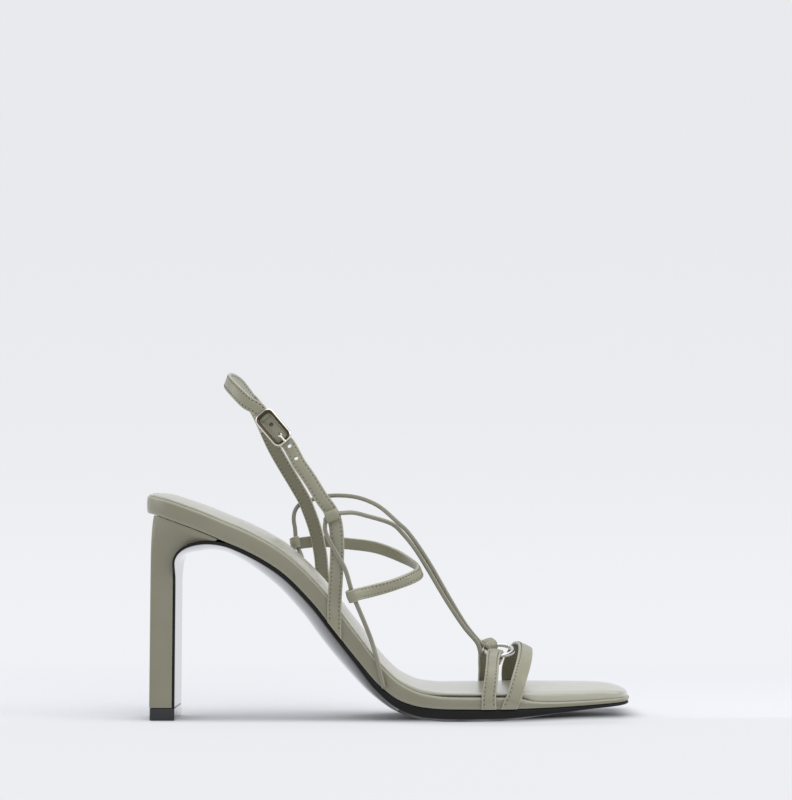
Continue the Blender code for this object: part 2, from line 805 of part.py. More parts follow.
def make_ankle_strap_outer(home, cutters):
    """The strap with holes: from the outer wall, through the buckle, its end under the loop."""
    low, mid, top = wall_foot(Stop(0.393, 0, 0), -1)
    route = spline([low, mid, top] + [place(s) for s in ANKLE_STRAP_OUTER], 3)
    under = fold_radius()
    deep = under + STRAP_THICKNESS + CLEARANCE * 1.5
    bar = bar_offset()
    inside = [
        at_buckle(bar + 0.0030, -under),
        at_buckle(bar, -under),
        at_buckle(bar * 0.45, -under * 1.1),
        at_buckle(-bar * 0.4, -deep * 0.96),
        at_buckle(-bar, -deep),
        at_buckle(-bar - 0.0055, -deep),
        at_buckle(-bar - 0.0080, -deep * 0.94),
    ]
    points = route[:-1] + spline([route[-1]] + inside, 3)
    ways = ways_round(points, ankle_core)
    _, wide, _ = buckle_axes()
    flip = 1.0 if ways[len(ways) // 2].dot(wide) > 0 else -1.0
    start = len(route)
    widths = []
    for i in range(len(points)):
        part = min(1.0, max(0.0, (i - start + 14) / 14))
        widths.append(ANKLE_STRAP_WIDTH + (BUCKLE_WIDTH * 0.58 - ANKLE_STRAP_WIDTH) * part)
        if i >= start:
            blend = min(1.0, (i - start + 1) / 4)
            ways[i] = (ways[i] * (1 - blend) + wide * flip * blend).normalized()
    _, _, out = buckle_axes()
    first = at_buckle(bar - PRONG_HOLE_BACK, -under)
    holes = [
        (first, out, cutters),
        (at_buckle(bar - PRONG_HOLE_BACK - STRAP_HOLE_PITCH, -under * 1.5), out, cutters),
    ]
    way = (route[-3] - at_buckle(bar, -under)).normalized()
    for number in (1, 2):
        target = first + way * STRAP_HOLE_PITCH * number
        near = min(range(len(points)), key=lambda k: (points[k] - target).length)
        here, before = points[near], points[near - 1]
        spot = min((here.lerp(before, k / 8) for k in range(9)), key=lambda p: (p - target).length)
        normal = (here - before).normalized().cross(ways[near]).normalized()
        holes.append((spot, normal, cutters))
    return strap("ankle_strap_outer", points, widths, ways, home, holes=holes)


def make_ankle_strap_inner(home):
    """The strap from the inner wall, round the back of the ankle, folded round the buckle's bar."""
    low, mid, top = wall_foot(Stop(0.364, 0, 0), 1)
    loop = [place(s) for s in HEEL_LOOP]
    bar = at_buckle(-bar_offset(), 0.0)
    down, wide, out = buckle_axes()
    radius = fold_radius()
    fold = wrap(bar, out, wide, radius, math.radians(-188.0), 7)
    if (fold[3] - bar).dot(down) < 0:
        fold = wrap(bar, out, wide, radius, math.radians(188.0), 7)
    back = fold[-1] - down * 0.0036
    run = [
        at_buckle(-bar_offset() - 0.0026, radius * 0.72),
        at_buckle(-bar_offset() - 0.0062, radius * 0.50),
    ]
    points = [back] + fold[::-1] + spline([fold[0]] + run + loop, 3)[1:] + spline(
        [loop[-1], top, mid, low], 3
    )[1:]
    ways = ways_round(points, ankle_core)
    fixed = len(fold) + 4
    flip = 1.0 if ways[fixed + 8].dot(wide) > 0 else -1.0
    for i in range(fixed):
        ways[i] = wide * flip
    for i in range(fixed, fixed + 4):
        blend = (i - fixed + 1) / 5
        ways[i] = (ways[i] * blend + wide * flip * (1 - blend)).normalized()
    widths = []
    for i in range(len(points)):
        part = min(1.0, max(0.0, (i - len(fold)) / 5))
        widths.append(BUCKLE_WIDTH * 0.56 + (ANKLE_STRAP_WIDTH - BUCKLE_WIDTH * 0.56) * part)
    return strap("ankle_strap_inner", points, widths, ways, home)


def tube(name, points, diameter, look, home, closed=False):
    """A round wire or cord along points: a bevelled curve made a mesh with closed ends."""
    data = bpy.data.curves.new(name, "CURVE")
    data.dimensions = "3D"
    data.bevel_depth = diameter / 2
    data.bevel_resolution = 2
    data.use_fill_caps = True
    line = data.splines.new("POLY")
    line.points.add(len(points) - 1)
    for target, point in zip(line.points, points):
        target.co = (*point, 1.0)
    line.use_cyclic_u = closed
    guide = bpy.data.objects.new(name + "_line", data)
    home.objects.link(guide)
    bpy.context.view_layer.update()
    graph = bpy.context.evaluated_depsgraph_get()
    mesh = bpy.data.meshes.new_from_object(guide.evaluated_get(graph))
    bm = bmesh.new()
    bm.from_mesh(mesh)
    bpy.data.meshes.remove(mesh)
    bpy.data.objects.remove(guide)
    return add_mesh(name, bm, look, home)


def keeper_frame(stop, side):
    """A keeper's place on its strap and the direction of the cord through it."""
    along = Vector((-0.93, 0.0, -0.36)).normalized()
    away = (place(stop) - ankle_core(place(stop))).normalized()
    away = (away - along * away.dot(along)).normalized()
    gap = HALF_STRAP + CLEARANCE * 2 + KEEPER_THICKNESS + CLEARANCE * 1.5 + CORD_DIAMETER / 2
    return place(stop) + away * gap, along, away


def make_keeper(name, stop, side, home):
    """A small leather tunnel on an ankle strap that the cord runs through."""
    centre, along, away = keeper_frame(stop, side)
    wide = along.cross(away).normalized()
    away = wide.cross(along).normalized()
    inner = CORD_DIAMETER / 2 + CLEARANCE * 1.5
    outer = inner + KEEPER_THICKNESS
    ring_count = 16
    loops = []
    for radius, end in ((inner, -0.5), (outer, -0.5), (outer, 0.5), (inner, 0.5)):
        loop = []
        for k in range(ring_count):
            turn = 2 * math.pi * (k + 0.5) / ring_count
            c, s = math.cos(turn), math.sin(turn)
            box = (abs(c) ** 5 + abs(s) ** 5) ** -0.2
            loop.append(
                centre + along * KEEPER_LENGTH * end + (wide * c * 1.05 + away * s) * radius * box
            )
        loops.append(loop)
    bm = bmesh.new()
    rings = join_loops(bm, loops)
    for i in range(ring_count):
        k = (i + 1) % ring_count
        bm.faces.new((rings[-1][i], rings[-1][k], rings[0][k], rings[0][i]))
    return add_mesh(name, bm, LEATHER, home)


def cord_wall_foot(x, side):
    y = side * (half_width(x, side) + CLEARANCE * 2 + CORD_DIAMETER / 2)
    top = Vector((x - 0.0030, y, wall_top(x - 0.0030) + 0.0010))
    low = Vector((x, y, under_wall(x) + CORD_DIAMETER / 2))
    return top, low


def outer_cord_end():
    """The outer leg below its keeper: across the ankle strap, the tab and the wall."""
    centre, along, _ = keeper_frame(KEEPER_OUTER, -1)
    x = SEAT_REAR + SOLE_LENGTH * 0.492
    top, low = cord_wall_foot(x, -1)
    return [
        centre - along * KEEPER_LENGTH * 0.5,
        centre + along * KEEPER_LENGTH * 0.5,
        place(Stop(0.376, -0.424, 0.561)),
        place(Stop(0.375, -0.420, 0.538)),
        place(Stop(0.382, -0.416, 0.512)),
        place(Stop(0.399, -0.412, 0.470)),
        place(Stop(0.416, -0.404, 0.426)),
        place(TAB_OUTER),
        place(Stop(0.454, -0.360, 0.280)),
        place(Stop(0.468, -0.344, 0.226)),
        top,
        low,
    ]


def inner_cord_end():
    """The inner leg below its keeper, down to the inner wall."""
    centre, along, _ = keeper_frame(KEEPER_INNER, 1)
    x = SEAT_REAR + SOLE_LENGTH * 0.336
    top, low = cord_wall_foot(x, 1)
    return [
        centre - along * KEEPER_LENGTH * 0.5,
        centre + along * KEEPER_LENGTH * 0.5,
        place(Stop(0.300, 0.412, 0.598)),
        place(Stop(0.297, 0.412, 0.572)),
        place(Stop(0.300, 0.412, 0.544)),
        place(TAB_INNER),
        place(Stop(0.313, 0.385, 0.468)),
        place(Stop(0.318, 0.335, 0.452)),
        top,
        low,
    ]


def make_cord(home):
    """One cord: from the inner wall up and down to the ring, round its wire, and back outside."""
    rear = ring_point(math.radians(182.0))
    radius = RING_WIRE / 2 + CLEARANCE * 3 + CORD_DIAMETER / 2
    up = Vector((0.80, 0.0, 0.60))
    wire_way = Vector((0.0, math.cos(RING_TILT), math.sin(RING_TILT)))
    up = (up - wire_way * up.dot(wire_way)).normalized()
    loop = wrap(rear, up, wire_way, radius, math.radians(180.0), 8)
    for i, point in enumerate(loop):
        point += wire_way * (CORD_DIAMETER / 2 + CLEARANCE) * (1 - i / 4)
    inner = [place(s) for s in CORD_INNER]
    outer = [place(s) for s in CORD_OUTER]
    first = spline(inner_cord_end()[::-1] + inner[::-1] + [loop[0]], 3)
    second = spline([loop[-1]] + outer + outer_cord_end(), 3)
    return tube("cord", first[:-1] + loop + second[1:], CORD_DIAMETER, LEATHER, home)


def make_instep_strap(home):
    """The strap round the front of the instep, its ends folded round the two cord legs."""
    radius = CORD_DIAMETER / 2 + CLEARANCE * 1.5 + HALF_STRAP
    rows = [place(s) for s in INSTEP_STRAP]
    ends = []
    for tab, leg, neighbour in (
        (place(TAB_INNER), inner_cord_end(), rows[0]),
        (place(TAB_OUTER), outer_cord_end(), rows[-1]),
    ):
        at = min(range(len(leg)), key=lambda k: (leg[k] - tab).length)
        axis = (leg[at + 1] - leg[at - 1]).normalized()
        toward = neighbour - tab
        toward = (toward - axis * toward.dot(axis)).normalized()
        side = Vector((0.0, 1.0 if tab.y > 0 else -1.0, 0.0))
        side = (side - axis * side.dot(axis) - toward * side.dot(toward)).normalized()
        fold = []
        for k in range(8):
            angle = math.radians(62.0 + 232.0 * k / 7)
            fold.append(tab + (toward * math.cos(angle) + side * math.sin(angle)) * radius)
        ends.append((fold, axis))
    inner_fold, inner_axis = ends[0]
    outer_fold, outer_axis = ends[1]
    run = spline([inner_fold[0]] + rows + [outer_fold[0]], 3)
    points = inner_fold[:0:-1] + run + outer_fold[1:]
    ways = ways_round(points, instep_core)
    first, last = len(inner_fold) + 1, len(points) - len(outer_fold) - 1
    flip = 1.0 if ways[first + 2].dot(inner_axis) > 0 else -1.0
    for i in range(first):
        ways[i] = inner_axis * flip
    flip = 1.0 if ways[last - 3].dot(outer_axis) > 0 else -1.0
    for i in range(last, len(points)):
        ways[i] = outer_axis * flip
    for i in range(3):
        blend = (i + 1) / 4
        ways[first + i] = (ways[first + i] * blend + ways[first - 1] * (1 - blend)).normalized()
        ways[last - 1 - i] = (ways[last - 1 - i] * blend + ways[last] * (1 - blend)).normalized()
    return strap("instep_strap", points, [INSTEP_STRAP_WIDTH] * len(points), ways, home)


def make_buckle(home):
    """The buckle's frame: one round wire bent to a rounded rectangle."""
    half_long = bar_offset()
    half_wide = (BUCKLE_WIDTH - BUCKLE_WIRE) / 2
    corner = half_wide * 0.36
    points = []
    for sx, sy, start in ((1, 1, 0), (-1, 1, 90), (-1, -1, 180), (1, -1, 270)):
        for k in range(5):
            turn = math.radians(start + 90 * k / 4)
            along = sx * (half_long - corner) + corner * math.cos(turn)
            across = sy * (half_wide - corner) + corner * math.sin(turn)
            points.append(at_buckle(along, 0.0, across))
    return tube("buckle_frame", points, BUCKLE_WIRE, BUCKLE_METAL, home, closed=True)


def make_prong(home):
    """The prong: under the strap from the rear bar, up through the hole, over the front bar."""
    bar = bar_offset()
    hole = bar - PRONG_HOLE_BACK
    under = fold_radius()
    reach = PRONG_WIRE / 2 + CLEARANCE
    deep = under + HALF_STRAP + reach
    over = BUCKLE_WIRE / 2 + reach
    points = [
        at_buckle(-bar * 0.15, -deep - STRAP_THICKNESS * 1.35),
        at_buckle(hole - 0.0026, -deep - 0.0006),
        at_buckle(hole - 0.0010, -deep - 0.0001),
        at_buckle(hole, -deep * 0.86),
        at_buckle(hole, -under),
        at_buckle(hole + 0.0002, -over * 0.30),
        at_buckle(hole + 0.0012, over * 0.62),
        at_buckle(bar - 0.0004, over),
        at_buckle(bar + 0.0009, over * 0.72),
    ]
    return tube("buckle_prong", spline(points, 2), PRONG_WIRE, BUCKLE_METAL, home)


def main():
    for old in list(bpy.data.objects):
        bpy.data.objects.remove(old, do_unlink=True)
    home = bpy.data.collections.new("strappy_heeled_sandal")
    cutters = bpy.data.collections.new("cutters")
    bpy.context.scene.collection.children.link(home)
    bpy.context.scene.collection.children.link(cutters)
    make_footbed(home)
    make_sock(home)
    make_outsole(home)
    make_heel(home)
    make_top_lift(home)
    make_toe_strap(home)
    make_ring(home)
    make_ring_strap("ring_strap_outer", RING_STRAP_OUTER, -1, home)
    make_ring_strap("ring_strap_inner", RING_STRAP_INNER, 1, home)
    make_ankle_strap_outer(home, cutters)
    make_ankle_strap_inner(home)
    make_keeper("keeper_outer", KEEPER_OUTER, -1, home)
    make_keeper("keeper_inner", KEEPER_INNER, 1, home)
    make_cord(home)
    make_instep_strap(home)
    make_buckle(home)
    make_prong(home)


main()
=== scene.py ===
"""The looks of a strappy sandal on a tall block heel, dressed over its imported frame.

X runs from heel to toe, Y from the outer side of the foot to its inner side, Z up from the floor.
All lengths are in metres. Every sub-assembly is a class that works its shape out from the sole's
form and from short tables, whose rows name places as shares of a few driving sizes.
"""

import logging
import math
from dataclasses import dataclass, field
from enum import Enum
from typing import Callable, NamedTuple

import bmesh
import bpy
from mathutils import Matrix, Vector


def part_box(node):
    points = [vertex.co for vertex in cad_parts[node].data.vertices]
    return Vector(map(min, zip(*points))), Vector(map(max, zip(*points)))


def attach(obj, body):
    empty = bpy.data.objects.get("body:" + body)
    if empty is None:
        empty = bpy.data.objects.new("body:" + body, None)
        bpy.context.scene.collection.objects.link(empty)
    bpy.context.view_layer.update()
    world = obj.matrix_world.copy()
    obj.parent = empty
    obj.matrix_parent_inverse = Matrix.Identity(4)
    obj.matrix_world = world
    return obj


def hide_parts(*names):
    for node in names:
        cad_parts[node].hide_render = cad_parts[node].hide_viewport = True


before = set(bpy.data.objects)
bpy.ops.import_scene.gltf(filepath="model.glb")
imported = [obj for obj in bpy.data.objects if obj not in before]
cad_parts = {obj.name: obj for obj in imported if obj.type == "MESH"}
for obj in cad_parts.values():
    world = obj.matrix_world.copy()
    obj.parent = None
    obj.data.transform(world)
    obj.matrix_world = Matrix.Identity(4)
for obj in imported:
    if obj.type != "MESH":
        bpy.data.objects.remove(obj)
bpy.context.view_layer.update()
LOG = logging.getLogger("sandal")

Colour = tuple[float, float, float]
Triple = tuple[float, float, float]
Height = Callable[[float], float]
Line = list[Vector]
Piece = bpy.types.Object
Socket = bpy.types.NodeSocket


class Outline(NamedTuple):
    """One pair of points of the sole's plan: shares of the sole's length and the ball's width."""

    along: float
    outer: float
    inner: float


OUTLINE = (
    Outline(0.000, 0.000, 0.000),
    Outline(0.006, 0.100, 0.100),
    Outline(0.024, 0.190, 0.190),
    Outline(0.052, 0.262, 0.262),
    Outline(0.090, 0.308, 0.310),
    Outline(0.149, 0.334, 0.334),
    Outline(0.217, 0.332, 0.322),
    Outline(0.292, 0.312, 0.290),
    Outline(0.362, 0.296, 0.268),
    Outline(0.422, 0.298, 0.280),
    Outline(0.483, 0.332, 0.330),
    Outline(0.543, 0.394, 0.400),
    Outline(0.603, 0.452, 0.466),
    Outline(0.669, 0.484, 0.506),
    Outline(0.734, 0.488, 0.512),
    Outline(0.804, 0.470, 0.486),
    Outline(0.870, 0.438, 0.448),
    Outline(0.925, 0.402, 0.414),
    Outline(0.961, 0.362, 0.378),
    Outline(0.982, 0.304, 0.322),
    Outline(0.9935, 0.208, 0.224),
    Outline(0.9985, 0.104, 0.112),
    Outline(1.000, 0.000, 0.000),
)


class Profile(NamedTuple):
    """The sole's side at one place along it, as shares of the named heights."""

    along: float
    rise: float
    spring: float
    wall: float
    sock: float
    crown: float
    edge: float
    bulge: float


PROFILE = (
    Profile(0.000, 1.000, 0.00, 0.92, 0.50, 0.00, 1.00, 0.35),
    Profile(0.023, 0.987, 0.00, 0.94, 0.80, 0.50, 1.00, 0.35),
    Profile(0.059, 0.958, 0.00, 0.98, 0.90, 1.00, 1.00, 0.35),
    Profile(0.127, 0.895, 0.00, 1.00, 0.90, 1.13, 1.00, 0.35),
    Profile(0.172, 0.846, 0.00, 1.02, 0.90, 1.18, 1.00, 0.40),
    Profile(0.217, 0.797, 0.00, 1.03, 0.90, 1.22, 1.00, 0.55),
    Profile(0.285, 0.694, 0.00, 1.08, 1.00, 1.35, 1.00, 0.86),
    Profile(0.352, 0.527, 0.00, 1.22, 1.10, 1.50, 1.00, 0.98),
    Profile(0.397, 0.381, 0.00, 1.32, 1.20, 1.60, 1.00, 1.04),
    Profile(0.442, 0.239, 0.00, 1.26, 1.20, 1.60, 1.00, 0.98),
    Profile(0.488, 0.108, 0.00, 1.10, 1.20, 1.20, 1.15, 0.72),
    Profile(0.533, 0.032, 0.00, 0.88, 1.30, 0.80, 1.45, 0.52),
    Profile(0.577, 0.006, 0.00, 0.70, 1.50, 0.50, 1.68, 0.54),
    Profile(0.623, 0.000, 0.00, 0.63, 1.60, 0.40, 1.70, 0.60),
    Profile(0.724, 0.000, 0.06, 0.61, 1.70, 0.38, 1.62, 0.60),
    Profile(0.762, 0.000, 0.12, 0.56, 2.20, 0.36, 1.46, 0.54),
    Profile(0.794, 0.000, 0.20, 0.36, 3.90, 0.35, 1.28, 0.46),
    Profile(0.848, 0.000, 0.36, 0.27, 4.30, 0.32, 0.94, 0.32),
    Profile(0.915, 0.000, 0.64, 0.24, 3.90, 0.28, 0.60, 0.16),
    Profile(0.965, 0.000, 0.88, 0.22, 3.10, 0.20, 0.50, 0.10),
    Profile(1.000, 0.000, 1.00, 0.18, 2.20, 0.00, 0.34, 0.02),
)


class Stop(NamedTuple):
    """One place on a strap or cord: shares of the sole's length, ball's width and strap height."""

    along: float
    across: float
    up: float


TOE_STRAP = (
    Stop(0.765, -0.464, 0.126),
    Stop(0.778, -0.345, 0.172),
    Stop(0.786, -0.150, 0.199),
    Stop(0.786, 0.020, 0.206),
    Stop(0.780, 0.190, 0.198),
    Stop(0.772, 0.350, 0.168),
    Stop(0.765, 0.474, 0.124),
)
RING_STRAP_OUTER = (
    Stop(0.709, -0.474, 0.124),
    Stop(0.713, -0.400, 0.158),
    Stop(0.717, -0.260, 0.180),
)
RING_STRAP_INNER = (
    Stop(0.711, 0.494, 0.124),
    Stop(0.709, 0.420, 0.166),
    Stop(0.706, 0.270, 0.200),
)
ANKLE_STRAP_OUTER = (
    Stop(0.398, -0.349, 0.395),
    Stop(0.401, -0.372, 0.485),
    Stop(0.398, -0.388, 0.552),
    Stop(0.388, -0.388, 0.590),
    Stop(0.368, -0.382, 0.629),
    Stop(0.347, -0.370, 0.676),
    Stop(0.323, -0.358, 0.724),
)
HEEL_LOOP = (
    Stop(0.214, -0.276, 0.900),
    Stop(0.192, -0.224, 0.930),
    Stop(0.175, -0.138, 0.955),
    Stop(0.167, -0.040, 0.971),
    Stop(0.171, 0.070, 0.979),
    Stop(0.185, 0.165, 0.968),
    Stop(0.198, 0.232, 0.944),
    Stop(0.212, 0.276, 0.916),
    Stop(0.230, 0.307, 0.869),
    Stop(0.261, 0.329, 0.776),
    Stop(0.316, 0.352, 0.647),
    Stop(0.330, 0.355, 0.606),
    Stop(0.347, 0.350, 0.540),
    Stop(0.358, 0.334, 0.470),
    Stop(0.362, 0.310, 0.420),
)
INSTEP_STRAP = (
    Stop(0.328, 0.432, 0.503),
    Stop(0.360, 0.430, 0.507),
    Stop(0.410, 0.385, 0.500),
    Stop(0.470, 0.290, 0.490),
    Stop(0.515, 0.180, 0.470),
    Stop(0.553, 0.070, 0.443),
    Stop(0.570, -0.035, 0.422),
    Stop(0.557, -0.140, 0.405),
    Stop(0.512, -0.258, 0.382),
    Stop(0.471, -0.332, 0.367),
)
CORD_INNER = (
    Stop(0.6905, 0.0145, 0.222),
    Stop(0.664, 0.0135, 0.268),
    Stop(0.630, 0.013, 0.346),
    Stop(0.595, 0.013, 0.431),
    Stop(0.566, 0.014, 0.494),
    Stop(0.543, 0.020, 0.536),
    Stop(0.526, 0.046, 0.558),
    Stop(0.489, 0.145, 0.604),
    Stop(0.456, 0.222, 0.628),
    Stop(0.422, 0.290, 0.640),
    Stop(0.378, 0.366, 0.642),
)
CORD_OUTER = (
    Stop(0.688, -0.0145, 0.2165),
    Stop(0.661, -0.0135, 0.261),
    Stop(0.625, -0.013, 0.336),
    Stop(0.589, -0.013, 0.420),
    Stop(0.561, -0.014, 0.482),
    Stop(0.535, -0.020, 0.527),
    Stop(0.510, -0.092, 0.557),
    Stop(0.460, -0.228, 0.578),
    Stop(0.434, -0.330, 0.586),
    Stop(0.414, -0.396, 0.585),
)
CORD_BELOW_OUTER_KEEPER = (
    Stop(0.378, -0.424, 0.561),
    Stop(0.377, -0.420, 0.538),
    Stop(0.384, -0.416, 0.512),
    Stop(0.401, -0.412, 0.470),
    Stop(0.418, -0.404, 0.426),
    Stop(0.4335, -0.382, 0.3553),
    Stop(0.456, -0.360, 0.280),
    Stop(0.471, -0.344, 0.226),
)
CORD_BELOW_INNER_KEEPER = (
    Stop(0.302, 0.412, 0.598),
    Stop(0.299, 0.412, 0.572),
    Stop(0.302, 0.412, 0.544),
    Stop(0.305, 0.408, 0.501),
    Stop(0.315, 0.385, 0.468),
    Stop(0.320, 0.335, 0.452),
)
KEEPER_OUTER = Stop(0.391, -0.388, 0.577)
KEEPER_INNER = Stop(0.324, 0.354, 0.624)
TAB_OUTER = CORD_BELOW_OUTER_KEEPER[5]
TAB_INNER = CORD_BELOW_INNER_KEEPER[3]
BUCKLE_PLACE = Stop(0.270, -0.325, 0.827)
RING_PLACE = Stop(0.734, 0.0, 0.1930)
ANKLE_MIDDLE = Stop(0.263, 0.0, 0.940)
INSTEP_MIDDLE = Stop(0.284, 0.0, 0.42)


def smooth(rows: tuple, column: str, at: float) -> float:
    """Reads one column of a table with no overshoot between the rows.

    Args:
        rows: the table, whose first column is the place along the sole.
        column: the name of the column to read.
        at: the place along the sole.

    Returns:
        The column's value there.
    """
    xs = [row[0] for row in rows]
    ys = [getattr(row, column) for row in rows]
    if at <= xs[0]:
        return ys[0]
    if at >= xs[-1]:
        return ys[-1]
    steps = [(ys[i + 1] - ys[i]) / (xs[i + 1] - xs[i]) for i in range(len(xs) - 1)]

    def slope(i: int) -> float:
        """The curve's slope at one row.

        Args:
            i: the row.

        Returns:
            The slope, 0 where the column turns.
        """
        if i in (0, len(xs) - 1):
            return steps[min(i, len(steps) - 1)]
        before, after = steps[i - 1], steps[i]
        if before * after <= 0:
            return 0.0
        return 2 * before * after / (before + after)

    i = max(k for k in range(len(xs) - 1) if xs[k] <= at)
    width = xs[i + 1] - xs[i]
    t = (at - xs[i]) / width
    return (
        ys[i] * (1 + 2 * t) * (1 - t) ** 2
        + ys[i + 1] * t * t * (3 - 2 * t)
        + slope(i) * width * t * (1 - t) ** 2
        - slope(i + 1) * width * t * t * (1 - t)
    )


def spline(points: list, per_span: int) -> list:
    """Points along a smooth curve through the given points.

    Args:
        points: vectors or numbers that the curve passes through.
        per_span: how many points each span gets.

    Returns:
        The points of the curve, from the first to the last.
    """
    found = []
    last = len(points) - 1
    for i in range(last):
        before = points[i - 1] if i else points[0] * 2 - points[1]
        after = points[i + 2] if i + 2 <= last else points[last] * 2 - points[last - 1]
        start, end = points[i], points[i + 1]
        for k in range(per_span):
            t = k / per_span
            found.append(
                start
                + (end - before) * (t / 2)
                + (before * 2 - start * 5 + end * 4 - after) * (t * t / 2)
                + (start * 3 - before - end * 3 + after) * (t**3 / 2)
            )
    return found + [points[last]]


def ease(t: float) -> float:
    """A smooth step from 0 to 1, held at both ends."""
    t = min(1.0, max(0.0, t))
    return t * t * (3 - 2 * t)


class NodeKit:
    """Short ways to add and join the shader nodes of one material."""

    def __init__(self, name: str) -> None:
        """Starts a material with a Principled shader.

        Args:
            name: the material's name.
        """
        self.material = bpy.data.materials.new(name)
        self.material.use_nodes = True
        self.tree = self.material.node_tree
        self.shader = self.tree.nodes["Principled BSDF"]
        self.place = self.add("ShaderNodeTexCoord").outputs["Object"]

    def add(self, kind: str, **settings: object) -> bpy.types.Node:
        """Adds a node and sets its properties.

        Args:
            kind: the node's type name.
            settings: its properties.

        Returns:
            The node.
        """
        node = self.tree.nodes.new(kind)
        for key, value in settings.items():
            setattr(node, key, value)
        return node

    def join(self, source: Socket, node: bpy.types.Node, name: str | int) -> None:
        """Links a socket to a node's input."""
        self.tree.links.new(source, node.inputs[name])

    def fix(self, name: str, value: float) -> None:
        """Sets a number on one of the shader's own sockets."""
        self.shader.inputs[name].default_value = value

    def noise(self, size: float, detail: float = 3.0, rough: float = 0.5) -> Socket:
        """A noise pattern with features of about the given size in metres.

        Args:
            size: the size of its features.
            detail: how many finer layers it has.
            rough: how strong they are.

        Returns:
            Its value, from 0 to 1.
        """
        node = self.add("ShaderNodeTexNoise")
        node.inputs["Scale"].default_value = 1.0 / size
        node.inputs["Detail"].default_value = detail
        node.inputs["Roughness"].default_value = rough
        self.join(self.place, node, "Vector")
        return node.outputs["Fac"]

    def cells(self, size: float) -> Socket:
        """The pattern of packed cells, as in grained leather.

        Args:
            size: a cell's size in metres.

        Returns:
            The distance from a cell's middle.
        """
        node = self.add("ShaderNodeTexVoronoi", feature="SMOOTH_F1")
        node.inputs["Scale"].default_value = 1.0 / size
        node.inputs["Smoothness"].default_value = 0.5
        self.join(self.place, node, "Vector")
        return node.outputs["Distance"]

    def span(self, source: Socket, low: float, high: float) -> Socket:
        """Spreads a pattern's middle range over other numbers.

        Args:
            source: the pattern.
            low: the number for its low places.
            high: the number for its high places.

        Returns:
            The new pattern.
        """
        node = self.add("ShaderNodeMapRange")
        node.inputs["From Min"].default_value = 0.3
        node.inputs["From Max"].default_value = 0.7
        node.inputs["To Min"].default_value = low
        node.inputs["To Max"].default_value = high
        self.join(source, node, "Value")
        return node.outputs["Result"]

    def step(
        self, source: Socket, start: float, end: float, least: float = 0.0,
        most: float = 1.0,
    ) -> Socket:
        """A smooth step along an axis.

        Args:
            source: the place along the axis.
            start: where the step starts.
            end: where it ends.
            least: its value at the start.
            most: its value at the end.

        Returns:
            The step's value.
        """
        node = self.add("ShaderNodeMapRange", interpolation_type="SMOOTHSTEP")
        values = {"From Min": start, "From Max": end, "To Min": least, "To Max": most}
        for name, value in values.items():
            node.inputs[name].default_value = value
        self.join(source, node, "Value")
        return node.outputs["Result"]

    def reckon(self, operation: str, first: Socket, second: Socket) -> Socket:
        """Does one sum on two sockets.

        Args:
            operation: the sum's kind.
            first: the first number.
            second: the second number.

        Returns:
            The result.
        """
        node = self.add("ShaderNodeMath", operation=operation)
        self.join(first, node, 0)
        self.join(second, node, 1)
        return node.outputs["Value"]

    def mix(self, part: Socket, first: object, second: object) -> Socket:
        """Mixes two colours.

        Args:
            part: how much of the second shows.
            first: a colour or a socket.
            second: a colour or a socket.

        Returns:
            The mixed colour.
        """
        node = self.add("ShaderNodeMix", data_type="RGBA")
        self.join(part, node, "Factor")
        for name, value in (("A", first), ("B", second)):
            socket = next(s for s in node.inputs if s.name == name and s.type == "RGBA")
            if isinstance(value, Socket):
                self.tree.links.new(value, socket)
            else:
                socket.default_value = (*value, 1.0)
        return next(s for s in node.outputs if s.type == "RGBA")

    def bump(self, source: Socket, depth: float, under: object = None) -> object:
        """Adds a bump of the given depth in metres.

        Args:
            source: the height pattern.
            depth: its depth.
            under: the normal of a coarser bump that this one lies on.

        Returns:
            The bumped normal.
        """
        node = self.add("ShaderNodeBump")
        node.inputs["Distance"].default_value = depth
        node.inputs["Strength"].default_value = 1.0
        self.join(source, node, "Height")
        if under is not None:
            self.join(under, node, "Normal")
        return node.outputs["Normal"]


@dataclass(frozen=True)
class LeatherFinish:
    """Dyed leather: soft cloudy colour, fine grain, lighter cut edges and a satin surface; on the
    footbed wall's edges the edge colour is a painted highlight.
    """

    name: str
    colour: Colour
    deep: Colour
    edge: Colour
    roughness: float
    grain: float
    grain_depth: float
    coat: float
    coat_roughness: float = 0.28
    sheen: float = 0.0

    def material(self) -> bpy.types.Material:
        """Builds the node material."""
        kit = NodeKit(self.name)
        cloud = kit.span(kit.noise(0.016, 4.0), 0.0, 1.0)
        tone = kit.mix(cloud, self.deep, self.colour)
        # The rim attribute brings in the edge colour: the leather's own lighter cut edge on straps,
        # and a painted highlight on the footbed wall's rounded edges.
        rim = kit.add("ShaderNodeAttribute", attribute_name="rim").outputs["Fac"]
        kit.join(kit.mix(rim, tone, self.edge), kit.shader, "Base Color")
        gloss = kit.span(kit.noise(0.006, 3.0), self.roughness - 0.05, self.roughness + 0.06)
        kit.join(gloss, kit.shader, "Roughness")
        kit.fix("Coat Weight", self.coat)
        kit.fix("Coat Roughness", self.coat_roughness)
        kit.fix("Specular IOR Level", 0.45)
        kit.fix("Sheen Weight", self.sheen)
        kit.fix("Sheen Roughness", 0.20)
        soft = kit.bump(kit.noise(0.0045, 2.0), 0.00012)
        kit.join(kit.bump(kit.cells(self.grain), self.grain_depth, soft), kit.shader, "Normal")
        return kit.material


